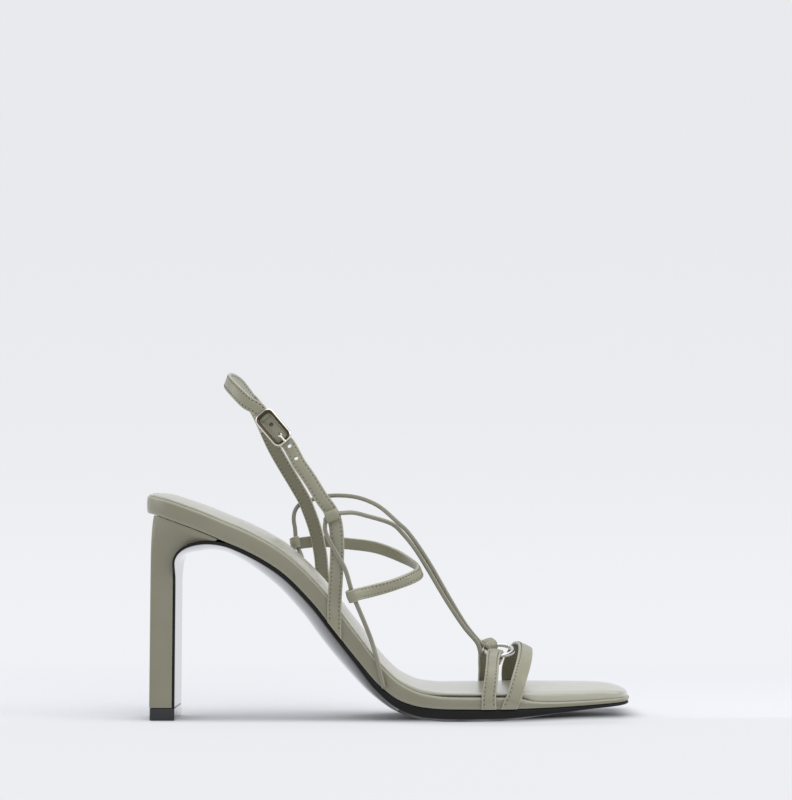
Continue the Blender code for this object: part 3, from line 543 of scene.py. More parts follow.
@dataclass(frozen=True)
class PolishFinish:
    """A dense dark finish, from matt to polished."""

    name: str
    colour: Colour
    roughness: float
    coat: float
    fleck: float = 0.0004
    depth: float = 0.000004
    specular: float = 0.5

    def material(self) -> bpy.types.Material:
        """Builds the node material."""
        kit = NodeKit(self.name)
        lighter = tuple(c * 1.5 + 0.002 for c in self.colour)
        kit.join(kit.mix(kit.noise(0.009, 3.0), self.colour, lighter), kit.shader, "Base Color")
        gloss = kit.span(kit.noise(0.012, 4.0), self.roughness * 0.8, self.roughness * 1.3)
        kit.join(gloss, kit.shader, "Roughness")
        kit.fix("Coat Weight", self.coat)
        kit.fix("Coat Roughness", 0.06)
        kit.fix("Specular IOR Level", self.specular)
        kit.join(kit.bump(kit.noise(self.fleck, 2.0), self.depth), kit.shader, "Normal")
        return kit.material


@dataclass(frozen=True)
class MetalFinish:
    """Polished plated metal with faint handling marks, and a painted dark reflection where the rim
    attribute is set.
    """

    name: str
    colour: Colour
    roughness: float
    painted_reflection: Colour = (0.1, 0.1, 0.1)

    def material(self) -> bpy.types.Material:
        """Builds the node material."""
        kit = NodeKit(self.name)
        kit.fix("Metallic", 1.0)
        worn = tuple(c * 0.90 for c in self.colour)
        plated = kit.mix(kit.noise(0.002, 4.0), self.colour, worn)
        # Painted dark reflection: where the rim attribute is set, the dark colour replaces the
        # plated one.
        rim = kit.add("ShaderNodeAttribute", attribute_name="rim").outputs["Fac"]
        kit.join(kit.mix(rim, plated, self.painted_reflection), kit.shader, "Base Color")
        gloss = kit.span(kit.noise(0.0012, 3.0), self.roughness * 0.7, self.roughness * 1.5)
        kit.join(gloss, kit.shader, "Roughness")
        return kit.material


@dataclass(frozen=True)
class ThreadFinish:
    """Twisted sewing thread, or the dark of a needle hole."""

    name: str
    colour: Colour
    roughness: float

    def material(self) -> bpy.types.Material:
        """Builds the node material."""
        kit = NodeKit(self.name)
        darker = tuple(c * 0.75 for c in self.colour)
        kit.join(kit.mix(kit.noise(0.0003, 2.0), self.colour, darker), kit.shader, "Base Color")
        kit.fix("Roughness", self.roughness)
        return kit.material


class Finish(Enum):
    """The sandal's finishes."""

    UPPER = LeatherFinish(
        "upper_leather", (0.250, 0.243, 0.172), (0.226, 0.218, 0.150), (0.360, 0.352, 0.270),
        0.46, 0.00042, 0.000026, 0.40,
    )
    # Its edge colour, on the footbed wall's rounded top and bottom edges, is a painted highlight.
    COVER = LeatherFinish(
        "cover_leather", (0.215, 0.208, 0.146), (0.199, 0.192, 0.131), (0.330, 0.322, 0.240),
        0.46, 0.00036, 0.000015, 0.50, 0.28, 0.8,
    )
    # Painted shade: a darker copy of the upper leather for the straps' back faces.
    UPPER_BACK_PAINTED_SHADE = LeatherFinish(
        "upper_back_painted_shade", (0.165, 0.158, 0.104), (0.150, 0.142, 0.092), (0.360, 0.352, 0.270),
        0.55, 0.00030, 0.000020, 0.10,
    )
    SOCK = LeatherFinish(
        "sock_leather", (0.370, 0.366, 0.300), (0.345, 0.340, 0.272), (0.360, 0.352, 0.280),
        0.34, 0.00034, 0.000008, 0.90,
    )
    CORD = LeatherFinish(
        "cord_leather", (0.245, 0.238, 0.184), (0.222, 0.215, 0.160), (0.150, 0.142, 0.100),
        0.44, 0.00030, 0.000018, 0.12,
    )
    SOLE = PolishFinish("polished_sole", (0.010, 0.007, 0.007), 0.10, 1.0)
    SOLE_EDGE = PolishFinish("sole_edge", (0.005, 0.005, 0.005), 0.45, 0.0, specular=0.2)
    LIFT = PolishFinish(
        "top_lift_rubber", (0.022, 0.023, 0.025), 0.55, 0.0, 0.0003, 0.00002, specular=0.3
    )
    RING = MetalFinish("plated_ring", (0.74, 0.73, 0.71), 0.26)
    # Its last colour is a painted dark reflection on the frame's inner side.
    BUCKLE = MetalFinish("plated_buckle", (0.80, 0.75, 0.66), 0.12, (0.070, 0.058, 0.038))
    THREAD = ThreadFinish("sewing_thread", (0.33, 0.32, 0.25), 0.65)
    NEEDLE_HOLE = ThreadFinish("needle_hole", (0.035, 0.030, 0.020), 0.90)

    def material(self) -> bpy.types.Material:
        """The finish's material, built on first use."""
        return bpy.data.materials.get(self.value.name) or self.value.material()


@dataclass(frozen=True)
class SoleForm:
    """The true shape of the sole that every other piece lies on."""

    seat_rear: float
    length: float
    ball_width: float = 0.076
    heel_height: float = 0.0942
    toe_spring: float = 0.0026
    ball_thickness: float = 0.0068
    wall_height: float = 0.0086
    sock_edge: float = 0.0010
    strap_top: float = 0.160
    clearance: float = 0.0003

    def share(self, x: float) -> float:
        """How far along the sole x lies, from 0 to 1."""
        return (x - self.seat_rear) / self.length

    def x_at(self, along: float) -> float:
        """The X of a place along the sole."""
        return self.seat_rear + along * self.length

    def underside(self, x: float) -> float:
        """Height of the underside of the footbed.

        Args:
            x: the place along the shoe.

        Returns:
            The height there.
        """
        s = self.share(x)
        rise = smooth(PROFILE, "rise", s) * (self.heel_height - self.ball_thickness)
        return self.ball_thickness + rise + self.toe_spring * smooth(PROFILE, "spring", s)

    def wall_top(self, x: float) -> float:
        """Height of the top of the footbed's wall."""
        return self.underside(x) + self.wall_height * smooth(PROFILE, "wall", self.share(x))

    def sock_top(self, x: float) -> float:
        """Height of the sock at its edge."""
        return self.wall_top(x) + self.clearance + self.sock_edge * smooth(
            PROFILE, "sock", self.share(x)
        )

    def place(self, stop: Stop) -> Vector:
        """The point in space that a table's row names."""
        return Vector((
            self.x_at(stop.along), stop.across * self.ball_width, stop.up * self.strap_top
        ))

    def plan(self, side: int, per_row: int = 3) -> Line:
        """Points along one side of the sole's plan, from the rear to the tip of the toe.

        Args:
            side: -1 for the outer side, 1 for the inner side.
            per_row: points for each row of the table.

        Returns:
            The points.
        """
        column = 1 if side < 0 else 2
        rows = [
            Vector((self.x_at(row[0]), side * row[column] * self.ball_width)) for row in OUTLINE
        ]
        return spline(rows, per_row)

    def inset_plan(self, side: int, inset: Height, per_row: int = 3) -> Line:
        """The plan's points moved inward, square to the edge.

        Args:
            side: -1 for the outer side, 1 for the inner side.
            inset: how far they move at each x.
            per_row: points for each row of the table.

        Returns:
            The moved points.
        """
        points = self.plan(side, per_row)
        moved = []
        for i, point in enumerate(points):
            along = points[min(i + 1, len(points) - 1)] - points[max(i - 1, 0)]
            if i in (0, len(points) - 1):
                along = Vector((0.0, 1.0 if i == 0 else -1.0)) * side
            inward = Vector((along.y, -along.x)) * side
            moved.append(point + inward.normalized() * inset(point.x))
        return moved

    def half_width(self, x: float, side: int) -> float:
        """Distance from the middle of the sole to its edge.

        Args:
            x: the place along the shoe.
            side: -1 for the outer side, 1 for the inner side.

        Returns:
            The distance, 0 beyond the sole's ends.
        """
        points = self.plan(side)
        for start, end in zip(points, points[1:]):
            if start.x <= x <= end.x and end.x > start.x:
                t = (x - start.x) / (end.x - start.x)
                return abs(start.y + (end.y - start.y) * t)
        return 0.0

    def ring(self, inset: Height, height: Height, per_row: int) -> Line:
        """A closed ring round the plan: the outer side to the toe, the inner side back.

        Args:
            inset: how far it lies inside the plan at each x.
            height: the height at each x.
            per_row: points for each row of the table.

        Returns:
            The ring's points.
        """
        outer = self.inset_plan(-1, inset, per_row)
        inner = self.inset_plan(1, inset, per_row)
        return [Vector((p.x, p.y, height(p.x))) for p in outer + inner[::-1]]

    def slope(self, x: float) -> Vector:
        """The direction of the sole's side.

        Args:
            x: the place along the shoe.

        Returns:
            The direction as (x, z).
        """
        step = self.length / 400
        rise = self.underside(x + step) - self.underside(x - step)
        return Vector((2 * step, rise)).normalized()

    def wall_out(self, x: float, side: int) -> Vector:
        """The direction that the footbed's wall faces.

        Args:
            x: the place along the shoe.
            side: -1 for the outer side, 1 for the inner side.

        Returns:
            The direction, level with the floor.
        """
        step = self.length / 200
        grow = self.half_width(x + step, side) - self.half_width(x - step, side)
        return Vector((-grow / (2 * step), float(side), 0.0)).normalized()


class Skin:
    """A mesh under construction, made of rows of points."""

    def __init__(self, name: str, finish: Finish) -> None:
        """Starts an empty skin with one finish.

        Args:
            name: the piece's name.
            finish: its first finish.
        """
        self.name = name
        self.finishes = [finish]
        self.bm = bmesh.new()
        self.rim = self.bm.verts.layers.float.new("rim")

    def loops(
        self, rows: list[Line], closed: bool = True, rims: list[float] | None = None,
        slots: list[int] | None = None,
    ) -> list[list[bmesh.types.BMVert]]:
        """Skins neighbouring rows of points.

        Args:
            rows: the rows, all of one length.
            closed: whether each row is a ring.
            rims: how much of the edge colour each place in a row takes: a cut edge, a seam groove,
                or a painted dark reflection on a frame's inner side.
            slots: which finish the faces after each place in a row take.

        Returns:
            The vertices, row by row.
        """
        made = []
        for row in rows:
            verts = [self.bm.verts.new(point) for point in row]
            for i, vert in enumerate(verts):
                vert[self.rim] = rims[i] if rims else 0.0
            made.append(verts)
        for low, high in zip(made, made[1:]):
            count = len(low)
            for i in range(count if closed else count - 1):
                k = (i + 1) % count
                face = self.bm.faces.new((low[i], low[k], high[k], high[i]))
                face.material_index = slots[i] if slots else 0
        return made

    def cap(
        self, ring: list[bmesh.types.BMVert], across: int = 1,
        crown: Callable[[float, float], float] | None = None,
    ) -> None:
        """Closes a ring by strips from each point of one side to its partner on the other.

        Args:
            ring: the ring's vertices.
            across: faces from side to side.
            crown: extra height at (x, share across).
        """
        half = len(ring) // 2
        rows = []
        for i in range(half):
            near, far = ring[i], ring[len(ring) - 1 - i]
            row = [near]
            for k in range(1, across):
                point = near.co.lerp(far.co, k / across)
                if crown:
                    point.z += crown(point.x, k / across)
                row.append(self.bm.verts.new(point))
            rows.append(row + [far])
        for first, second in zip(rows, rows[1:]):
            for k in range(across):
                self.bm.faces.new((first[k], first[k + 1], second[k + 1], second[k]))

    def piece(self, sharp: float = 40.0) -> Piece:
        """Finishes the mesh, with its faces turned out.

        Args:
            sharp: the angle in degrees above which an edge stays sharp.

        Returns:
            The finished object.
        """
        bmesh.ops.remove_doubles(self.bm, verts=self.bm.verts, dist=1e-6)
        bmesh.ops.dissolve_degenerate(self.bm, edges=self.bm.edges, dist=1e-7)
        bmesh.ops.recalc_face_normals(self.bm, faces=self.bm.faces)
        mesh = bpy.data.meshes.new(self.name)
        self.bm.to_mesh(mesh)
        self.bm.free()
        mesh.shade_smooth()
        mesh.set_sharp_from_angle(angle=math.radians(sharp))
        for finish in self.finishes:
            mesh.materials.append(finish.material())
        made = bpy.data.objects.new(self.name, mesh)
        bpy.context.scene.collection.objects.link(made)
        return made


def bevelled(piece: Piece, width: float, segments: int = 2) -> Piece:
    """Rounds a piece's sharp edges and applies the modifier.

    Args:
        piece: the piece.
        width: the width of the rounding.
        segments: its number of faces.

    Returns:
        The same piece.
    """
    cut = piece.modifiers.new("rounding", "BEVEL")
    cut.width = width
    cut.segments = segments
    cut.limit_method = "ANGLE"
    cut.angle_limit = math.radians(40)
    cut.harden_normals = False
    applied(piece)
    piece.data.set_sharp_from_angle(angle=math.radians(40))
    return piece


def applied(piece: Piece) -> Piece:
    """Puts the result of a piece's modifiers into its own mesh.

    Args:
        piece: the piece.

    Returns:
        The same piece, without modifiers.
    """
    bpy.context.view_layer.update()
    graph = bpy.context.evaluated_depsgraph_get()
    mesh = bpy.data.meshes.new_from_object(piece.evaluated_get(graph))
    mesh.name = piece.name
    old = piece.data
    piece.modifiers.clear()
    piece.data = mesh
    bpy.data.meshes.remove(old)
    return piece


@dataclass
class Route:
    """The line of a strap: its points, the directions of its width, and its widths."""

    points: Line
    ways: Line
    widths: list[float]

    def refined(self, times: int) -> "Route":
        """The same line with more points."""
        return Route(
            spline(self.points, times),
            [way.normalized() * way.length for way in spline(self.ways, times)],
            spline(self.widths, times),
        )

    def normal(self, i: int) -> Vector:
        """The direction that the strap's face looks in.

        Args:
            i: the point's number.

        Returns:
            The direction.
        """
        last = len(self.points) - 1
        along = self.points[min(i + 1, last)] - self.points[max(i - 1, 0)]
        return along.normalized().cross(self.ways[i].normalized()).normalized()

    def seam(self, part: float, level: float, start: int = 0, end: int | None = None) -> Line:
        """A line along the strap's face, for a row of stitches.

        Args:
            part: its place across, from -0.5 to 0.5 of the width.
            level: its height off the strap's middle layer.
            start: the first point used.
            end: the point after the last one used.

        Returns:
            The line's points.
        """
        stop = len(self.points) if end is None else end
        return [
            self.points[i] + self.ways[i] * self.widths[i] * part + self.normal(i) * level
            for i in range(start, stop)
        ]


class Facing(Enum):
    """Which way a strap's outer face looks along its route's own normal."""

    SAME = 1.0
    TURNED = -1.0


@dataclass
class StrapSection:
    """The cross-section of a leather strap: a shallow crown, rounded edges, soft seam troughs."""

    thickness: float = 0.0014
    rounding: float = 0.0005
    crown: float = 0.00018
    trough: float = 0.00012
    trough_width: float = 0.00042
    seam_inset: float = 0.0011
    face_steps: int = 18
    back_steps: int = 6
    edge_steps: int = 7
    edge_rim: float = 0.85

    def edge(self, width: float, side: int) -> list[Triple]:
        """The rounded cut edge of one side.

        Args:
            width: the strap's width.
            side: 1 for the edge after the face, -1 for the edge after the back.

        Returns:
            The edge's points, as in the whole section.
        """
        half, thick, r = width / 2, self.thickness / 2, self.rounding
        found = []
        for k in range(1, self.edge_steps):
            turn = side * math.pi / 2 - math.pi * k / self.edge_steps
            rise = math.sin(turn)
            level = (thick - r) * math.copysign(1, rise) + r * rise if abs(rise) > 0.05 else 0.0
            found.append((side * (half - r) + r * math.cos(turn), level, self.edge_rim))
        return found

    def outline(self, width: float) -> list[Triple]:
        """The section's ring.

        Args:
            width: the strap's width.

        Returns:
            For each point its place across, its height and how much it is a cut edge.
        """
        half, thick, r = width / 2, self.thickness / 2, self.rounding
        face = []
        for k in range(self.face_steps + 1):
            across = -half + r + (width - 2 * r) * k / self.face_steps
            swell = self.crown * (1 - (across / half) ** 2)
            gap = (half - abs(across) - self.seam_inset) / self.trough_width
            dip = self.trough * math.exp(-gap * gap)
            face.append((across, thick + swell - dip, 0.0))
        back = [
            (half - r - (width - 2 * r) * k / self.back_steps, -thick, 0.0)
            for k in range(self.back_steps + 1)
        ]
        return face + self.edge(width, 1) + back + self.edge(width, -1)


@dataclass
class SubAssembly:
    """A group of pieces that a maker would join, with what each stands for."""

    form: SoleForm
    pieces: list[Piece] = field(default_factory=list)

    def keep(self, piece: Piece, slot: str, *nodes: str) -> Piece:
        """Takes a finished piece into the model.

        Args:
            piece: the piece.
            slot: the name of the record's material slot; not used.
            nodes: the CAD nodes that it stands for.

        Returns:
            The piece.
        """
        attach(piece, "root")
        if nodes:
            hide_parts(*nodes)
        self.pieces.append(piece)
        return piece

    def build(self) -> None:
        """Builds and dresses every piece of the group."""
        raise NotImplementedError


@dataclass
class Footbed(SubAssembly):
    """The insole board in its leather cover, with the lining sock on it."""

    rim: float = 0.0009
    sock_inset: float = 0.0009
    sock_crown: float = 0.0023
    gap_depth: float = 0.0011
    per_row: int = 8

    def build(self) -> None:
        """Builds the footbed and the sock."""
        self.keep(self.make_board(), "leather", "footbed")
        self.keep(self.make_sock(), "lining", "insole_sock")

    def make_board(self) -> Piece:
        """The board with its tall wall, whose edges turn softly over and carry a painted highlight.

        Returns:
            The board.
        """
        form, rim = self.form, self.rim
        steps = (
            (0.90, 0.0, 0.00), (0.45, 0.0, 0.10), (0.14, 0.0, 0.42), (0.02, 0.0, 0.9),
            (-0.03, 0.04, 1.3), (-0.16, 0.35, 0.0), (-0.20, 0.5, 0.0), (-0.16, 0.65, 0.0),
            (-0.03, 0.96, -1.3), (0.02, 1.0, -0.9), (0.12, 1.0, -0.50), (0.45, 1.0, -0.12),
            (1.0, 1.0, 0.0), (2.2, 1.0, 0.02),
        )
        skin = Skin("footbed_board", Finish.COVER)
        rows = []
        for inset, part, lift in steps:
            rows.append(form.ring(
                lambda x, d=inset: rim * d,
                lambda x, p=part, s=lift: (
                    form.underside(x) + (form.wall_top(x) - form.underside(x)) * p + rim * s
                ),
                self.per_row,
            ))
        made = skin.loops(rows)
        # Painted highlight: the wall's rounded top edge takes most of the cover's edge colour, its
        # bottom edge a little of it.
        for (inset, part, _), ring in zip(steps, made):
            if part in (0.0, 1.0) and inset < 0.5:
                for vert in ring:
                    vert[skin.rim] = 0.8 if part else 0.3
        skin.cap(made[0], 2)
        skin.cap(made[-1], 2)
        return skin.piece(50.0)

    def make_sock(self) -> Piece:
        """The sock: rounded over at its edge and lightly crowned.

        Returns:
            The sock.
        """
        form = self.form

        def low(x: float) -> float:
            """The sock's underside."""
            return form.wall_top(x) + form.clearance * (gap(x) * 1.6 - 0.6)

        def crown(x: float, part: float) -> float:
            """Height above the straight line across."""
            swell = 1 - (2 * part - 1) ** 2
            return self.sock_crown * smooth(PROFILE, "crown", form.share(x)) * swell

        def gap(x: float) -> float:
            """How open the gap under the sock's edge is: widest beside the ball of the foot."""
            s = form.share(x)
            return ease((s - 0.57) / 0.06) * (1 - ease((s - 0.765) / 0.035))

        def soft(x: float) -> float:
            """How much wider the sock's upper edge turns over in front of the toe strap."""
            s = form.share(x)
            return 1.4 * ease((s - 0.77) / 0.05) * (1 - 0.85 * ease((s - 0.89) / 0.08))

        levels = (
            (0.50, 1.0, 0.0, 0.0), (0.15, 0.8, 0.04, 0.10), (0.0, 0.45, 0.15, 0.22),
            (-0.05, 0.0, 0.38, 0.45), (-0.03, -0.15, 0.60, 0.65), (0.10, 0.0, 0.78, 0.82),
            (0.5, 0.45, 0.93, 0.94), (1.15, 1.1, 0.985, 0.985), (2.0, 2.0, 1.0, 1.0),
        )
        rows = []
        for shut, opened, part_shut, part_open in levels:
            rows.append(form.ring(
                lambda x, a=shut, b=opened, p=part_shut: (
                    self.sock_inset * (1 + a * (1 - gap(x)) * (1 + (p > 0.7) * soft(x)))
                    + self.gap_depth * b * gap(x)
                ),
                lambda x, a=part_shut, b=part_open: (
                    low(x) + (form.sock_top(x) - low(x)) * (a + (b - a) * gap(x))
                ),
                self.per_row,
            ))
        skin = Skin("sock_lining", Finish.SOCK)
        made = skin.loops(rows)
        skin.cap(made[0], 2)
        skin.cap(made[-1], 28, crown)
        return skin.piece(60.0)


@dataclass
class HeelAndSole(SubAssembly):
    """The outsole with its black breast, the covered heel and the top lift."""

    tip_length: float = 0.0115
    tip_width: float = 0.0282
    lift_height: float = 0.0054
    breast_leather: float = 0.0010
    breast_top: float = 0.070
    arch_reach: float = 0.029
    edge: float = 0.0023
    bulge: float = 0.0052
    arch_fullness: float = 1.7
    ball_fullness: float = 3.2
    arch_edge: float = 0.66
    arch_end: float = 0.42
    black_from: float = 0.525
    inset: float = 0.0004
    join_along: float = 0.19
    breast_steps: int = 4
    curve_steps: int = 10
    sole_steps: int = 42
    finer: int = 3
    across: int = 28
    rear_fullness: float = 0.0003
    heel_straight: int = 9
    tip_gap: float = 1.4
    lift_round: float = 0.0020
    lift_edge: float = 0.0003

    def build(self) -> None:
        """Builds the outsole, the heel and the top lift."""
        self.keep(self.make_outsole(), "sole", "outsole")
        self.keep(self.make_heel(), "leather", "heel_block")
        self.keep(self.make_lift(), "top_lift", "top_lift")

    @property
    def breast_x(self) -> float:
        """Where the heel's covered column ends and its black breast begins."""
        return self.tip_length / 2 - self.breast_leather

    def arch_path(self, finer: int = 3) -> tuple[Line, int]:
        """The line where the outsole lies against the heel and the footbed, from floor to toe.

        Args:
            finer: how many times finer than the plain solid's line it is.

        Returns:
            The points as (x, z), and the number of them that belong to the heel's breast.
        """
        form = self.form
        floor = self.lift_height + form.clearance
        join = form.x_at(self.join_along)
        foot = Vector((self.breast_x, self.breast_top))
        end = Vector((join, form.underside(join) - form.clearance))
        lift = foot + Vector((0.0, self.arch_reach * 0.38))
        back = end - form.slope(join) * self.arch_reach * 0.41
        count = self.breast_steps * finer
        path = [Vector((self.breast_x, floor)).lerp(foot, k / count) for k in range(count)]
        count = self.curve_steps * finer
        for k in range(count):
            t = k / count
            path.append(
                foot * (1 - t) ** 3 + lift * 3 * t * (1 - t) ** 2
                + back * 3 * t * t * (1 - t) + end * t**3
            )
        breast = len(path)
        toe = form.seat_rear + form.length - self.inset * 3
        count = self.sole_steps * finer
        for k in range(count + 1):
            x = join + (toe - join) * (1 - (1 - k / count) ** 1.25)
            path.append(Vector((x, form.underside(x) - form.clearance)))
        return path, breast

    def make_outsole(self) -> Piece:
        """One sheet from the toe to the top lift, full in the middle and thin at its edges.

        Returns:
            The outsole. Its edge, its hidden side and its forepart have the dull finish.
        """
        form, across = self.form, self.across
        path, breast_end = self.arch_path(self.finer)
        straight = self.breast_steps * self.finer
        rows = []
        for i, point in enumerate(path):
            along = (path[min(i + 1, len(path) - 1)] - path[max(i - 1, 0)]).normalized()
            away = Vector((along.y, -along.x))
            s = form.share(point.x)
            full = self.edge * smooth(PROFILE, "edge", s)
            edge = full * (self.arch_edge + (1 - self.arch_edge) * ease((s - self.arch_end) / 0.10))
            bulge = self.bulge * smooth(PROFILE, "bulge", s) + full - edge
            wider = self.ball_fullness - self.arch_fullness
            fullness = self.arch_fullness + wider * ease((s - self.arch_end) / 0.12)
            on_breast = i < breast_end
            if on_breast:
                part = max(0.0, (i - straight) / (breast_end - straight))
                edge = self.breast_leather + (edge - self.breast_leather) * part
                bulge = bulge * ease(part / 0.55)
            wide = []
            for side in (-1, 1):
                sole_side = form.half_width(point.x, side) - self.inset
                height = (point.y - self.breast_top * 0.9) / (form.heel_height * 0.12)
                blend = ease(height) if on_breast else 1.0
                wide.append(self.tip_width / 2 + (sole_side - self.tip_width / 2) * blend)
            row = []
            for k in range(across + 1):
                u = 2 * k / across - 1
                y = u * (wide[0] if u < 0 else wide[1])
                low = point + away * (edge + bulge * (1 - abs(u) ** fullness))
                row.append(Vector((low.x, y, max(low.y, 0.0))))
            ridge = point - away * form.clearance * (1.2 + 2.4 * (0.11 < s < 0.24))
            row.append(Vector((point.x, row[across].y, point.y)))
            row.append(Vector((ridge.x, 0.0, ridge.y)))
            row.append(Vector((point.x, row[0].y, point.y)))
            rows.append(row)
        skin = Skin("outsole", Finish.SOLE)
        skin.finishes.append(Finish.SOLE_EDGE)
        made = skin.loops(rows, slots=[0] * across + [1] * (len(rows[0]) - across))
        for ring in (made[0], made[-1]):
            skin.bm.faces.new(ring).material_index = 1
        for face in skin.bm.faces:
            if form.share(face.calc_center_median().x) > self.black_from:
                face.material_index = 1
        return bevelled(skin.piece(30.0), 0.00022)

    def heel_front(self) -> Line:
        """The heel block's front line.

        Returns:
            Its points as (x, z), from the foot to the tip under the footbed.
        """
        path, breast = self.arch_path(1)
        moved = []
        for i, point in enumerate(path[: breast + 1]):
            along = (path[min(i + 1, len(path) - 1)] - path[max(i - 1, 0)]).normalized()
            moved.append(point + Vector((-along.y, along.x)) * self.form.clearance)
        least = self.form.clearance * self.tip_gap
        return [p for p in moved if p.y < self.form.underside(p.x) - least]

    def make_heel(self) -> Piece:
        """The block heel: a plain column that opens out under the seat.

        Returns:
            The covered heel.
        """
        form, straight = self.form, self.heel_straight
        front = spline(self.heel_front(), 3)
        heel_rear = -self.tip_length / 2 - self.rear_fullness
        rear_top = form.x_at(0.022)
        corners = (
            (0.0, 0.74), (0.004, 0.84), (0.018, 0.92), (0.045, 0.97), (0.09, 0.99), (0.14, 1.0),
            (0.3, 1.0), (0.45, 1.0), (0.6, 1.0), (0.8, 1.0), (1.0, 1.0),
        )
        rows = []
        count = len(front)
        for i, tip in enumerate(front):
            rise = max(0.0, (i - straight) / (count - 1 - straight))
            rear_z = tip.y + (form.underside(rear_top) - form.clearance - tip.y) * rise
            rear_x = heel_rear + (rear_top - heel_rear) * rise * rise
            pairs = []
            for part, square in corners:
                x = rear_x + (tip.x - rear_x) * part
                ceiling = form.underside(x) - form.clearance
                z = rear_z + (tip.y - rear_z) * part
                z = ceiling if i == count - 1 else min(z, ceiling)
                sides = []
                for side in (-1, 1):
                    column = self.tip_width / 2 * square
                    seat = max(0.0, form.half_width(x, side) - self.inset * 2)
                    sides.append(side * (column + (seat - column) * ease(rise)))
                pairs.append((x, z, sides))
            outer = [Vector((x, sides[0], z)) for x, z, sides in pairs]
            inner = [Vector((x, sides[1], z)) for x, z, sides in pairs]
            rows.append(outer + inner[::-1])
        skin = Skin("heel_cover", Finish.COVER)
        made = skin.loops(rows)
        skin.cap(made[0], 1)
        skin.cap(made[-1], 1)
        return bevelled(skin.piece(35.0), 0.0009, 4)

    def make_lift(self) -> Piece:
        """The top lift: a block with rounded rear corners and a fine rounded rim.

        Returns:
            The top lift, polished on its front face.
        """
        half_x, half_y = self.tip_length / 2, self.tip_width / 2
        rear, fore = self.lift_round, self.lift_edge
        corners = ((-1, -1, rear, 180), (1, -1, fore, 270), (1, 1, fore, 0), (-1, 1, rear, 90))
        ring = []
        for sx, sy, r, start in corners:
            for k in range(7):
                turn = math.radians(start + 90 * k / 6)
                ring.append((
                    sx * (half_x - r) + r * math.cos(turn), sy * (half_y - r) + r * math.sin(turn)
                ))
        rows = [[Vector((x, y, z)) for x, y in ring] for z in (0.0, self.lift_height)]
        skin = Skin("top_lift_block", Finish.LIFT)
        skin.finishes.append(Finish.SOLE)
        made = skin.loops(rows)
        skin.bm.faces.new(made[0])
        skin.bm.faces.new(made[-1])
        piece = skin.piece(35.0)
        for face in piece.data.polygons:
            if face.normal.x > 0.9:
                face.material_index = 1
        return bevelled(piece, 0.0003)


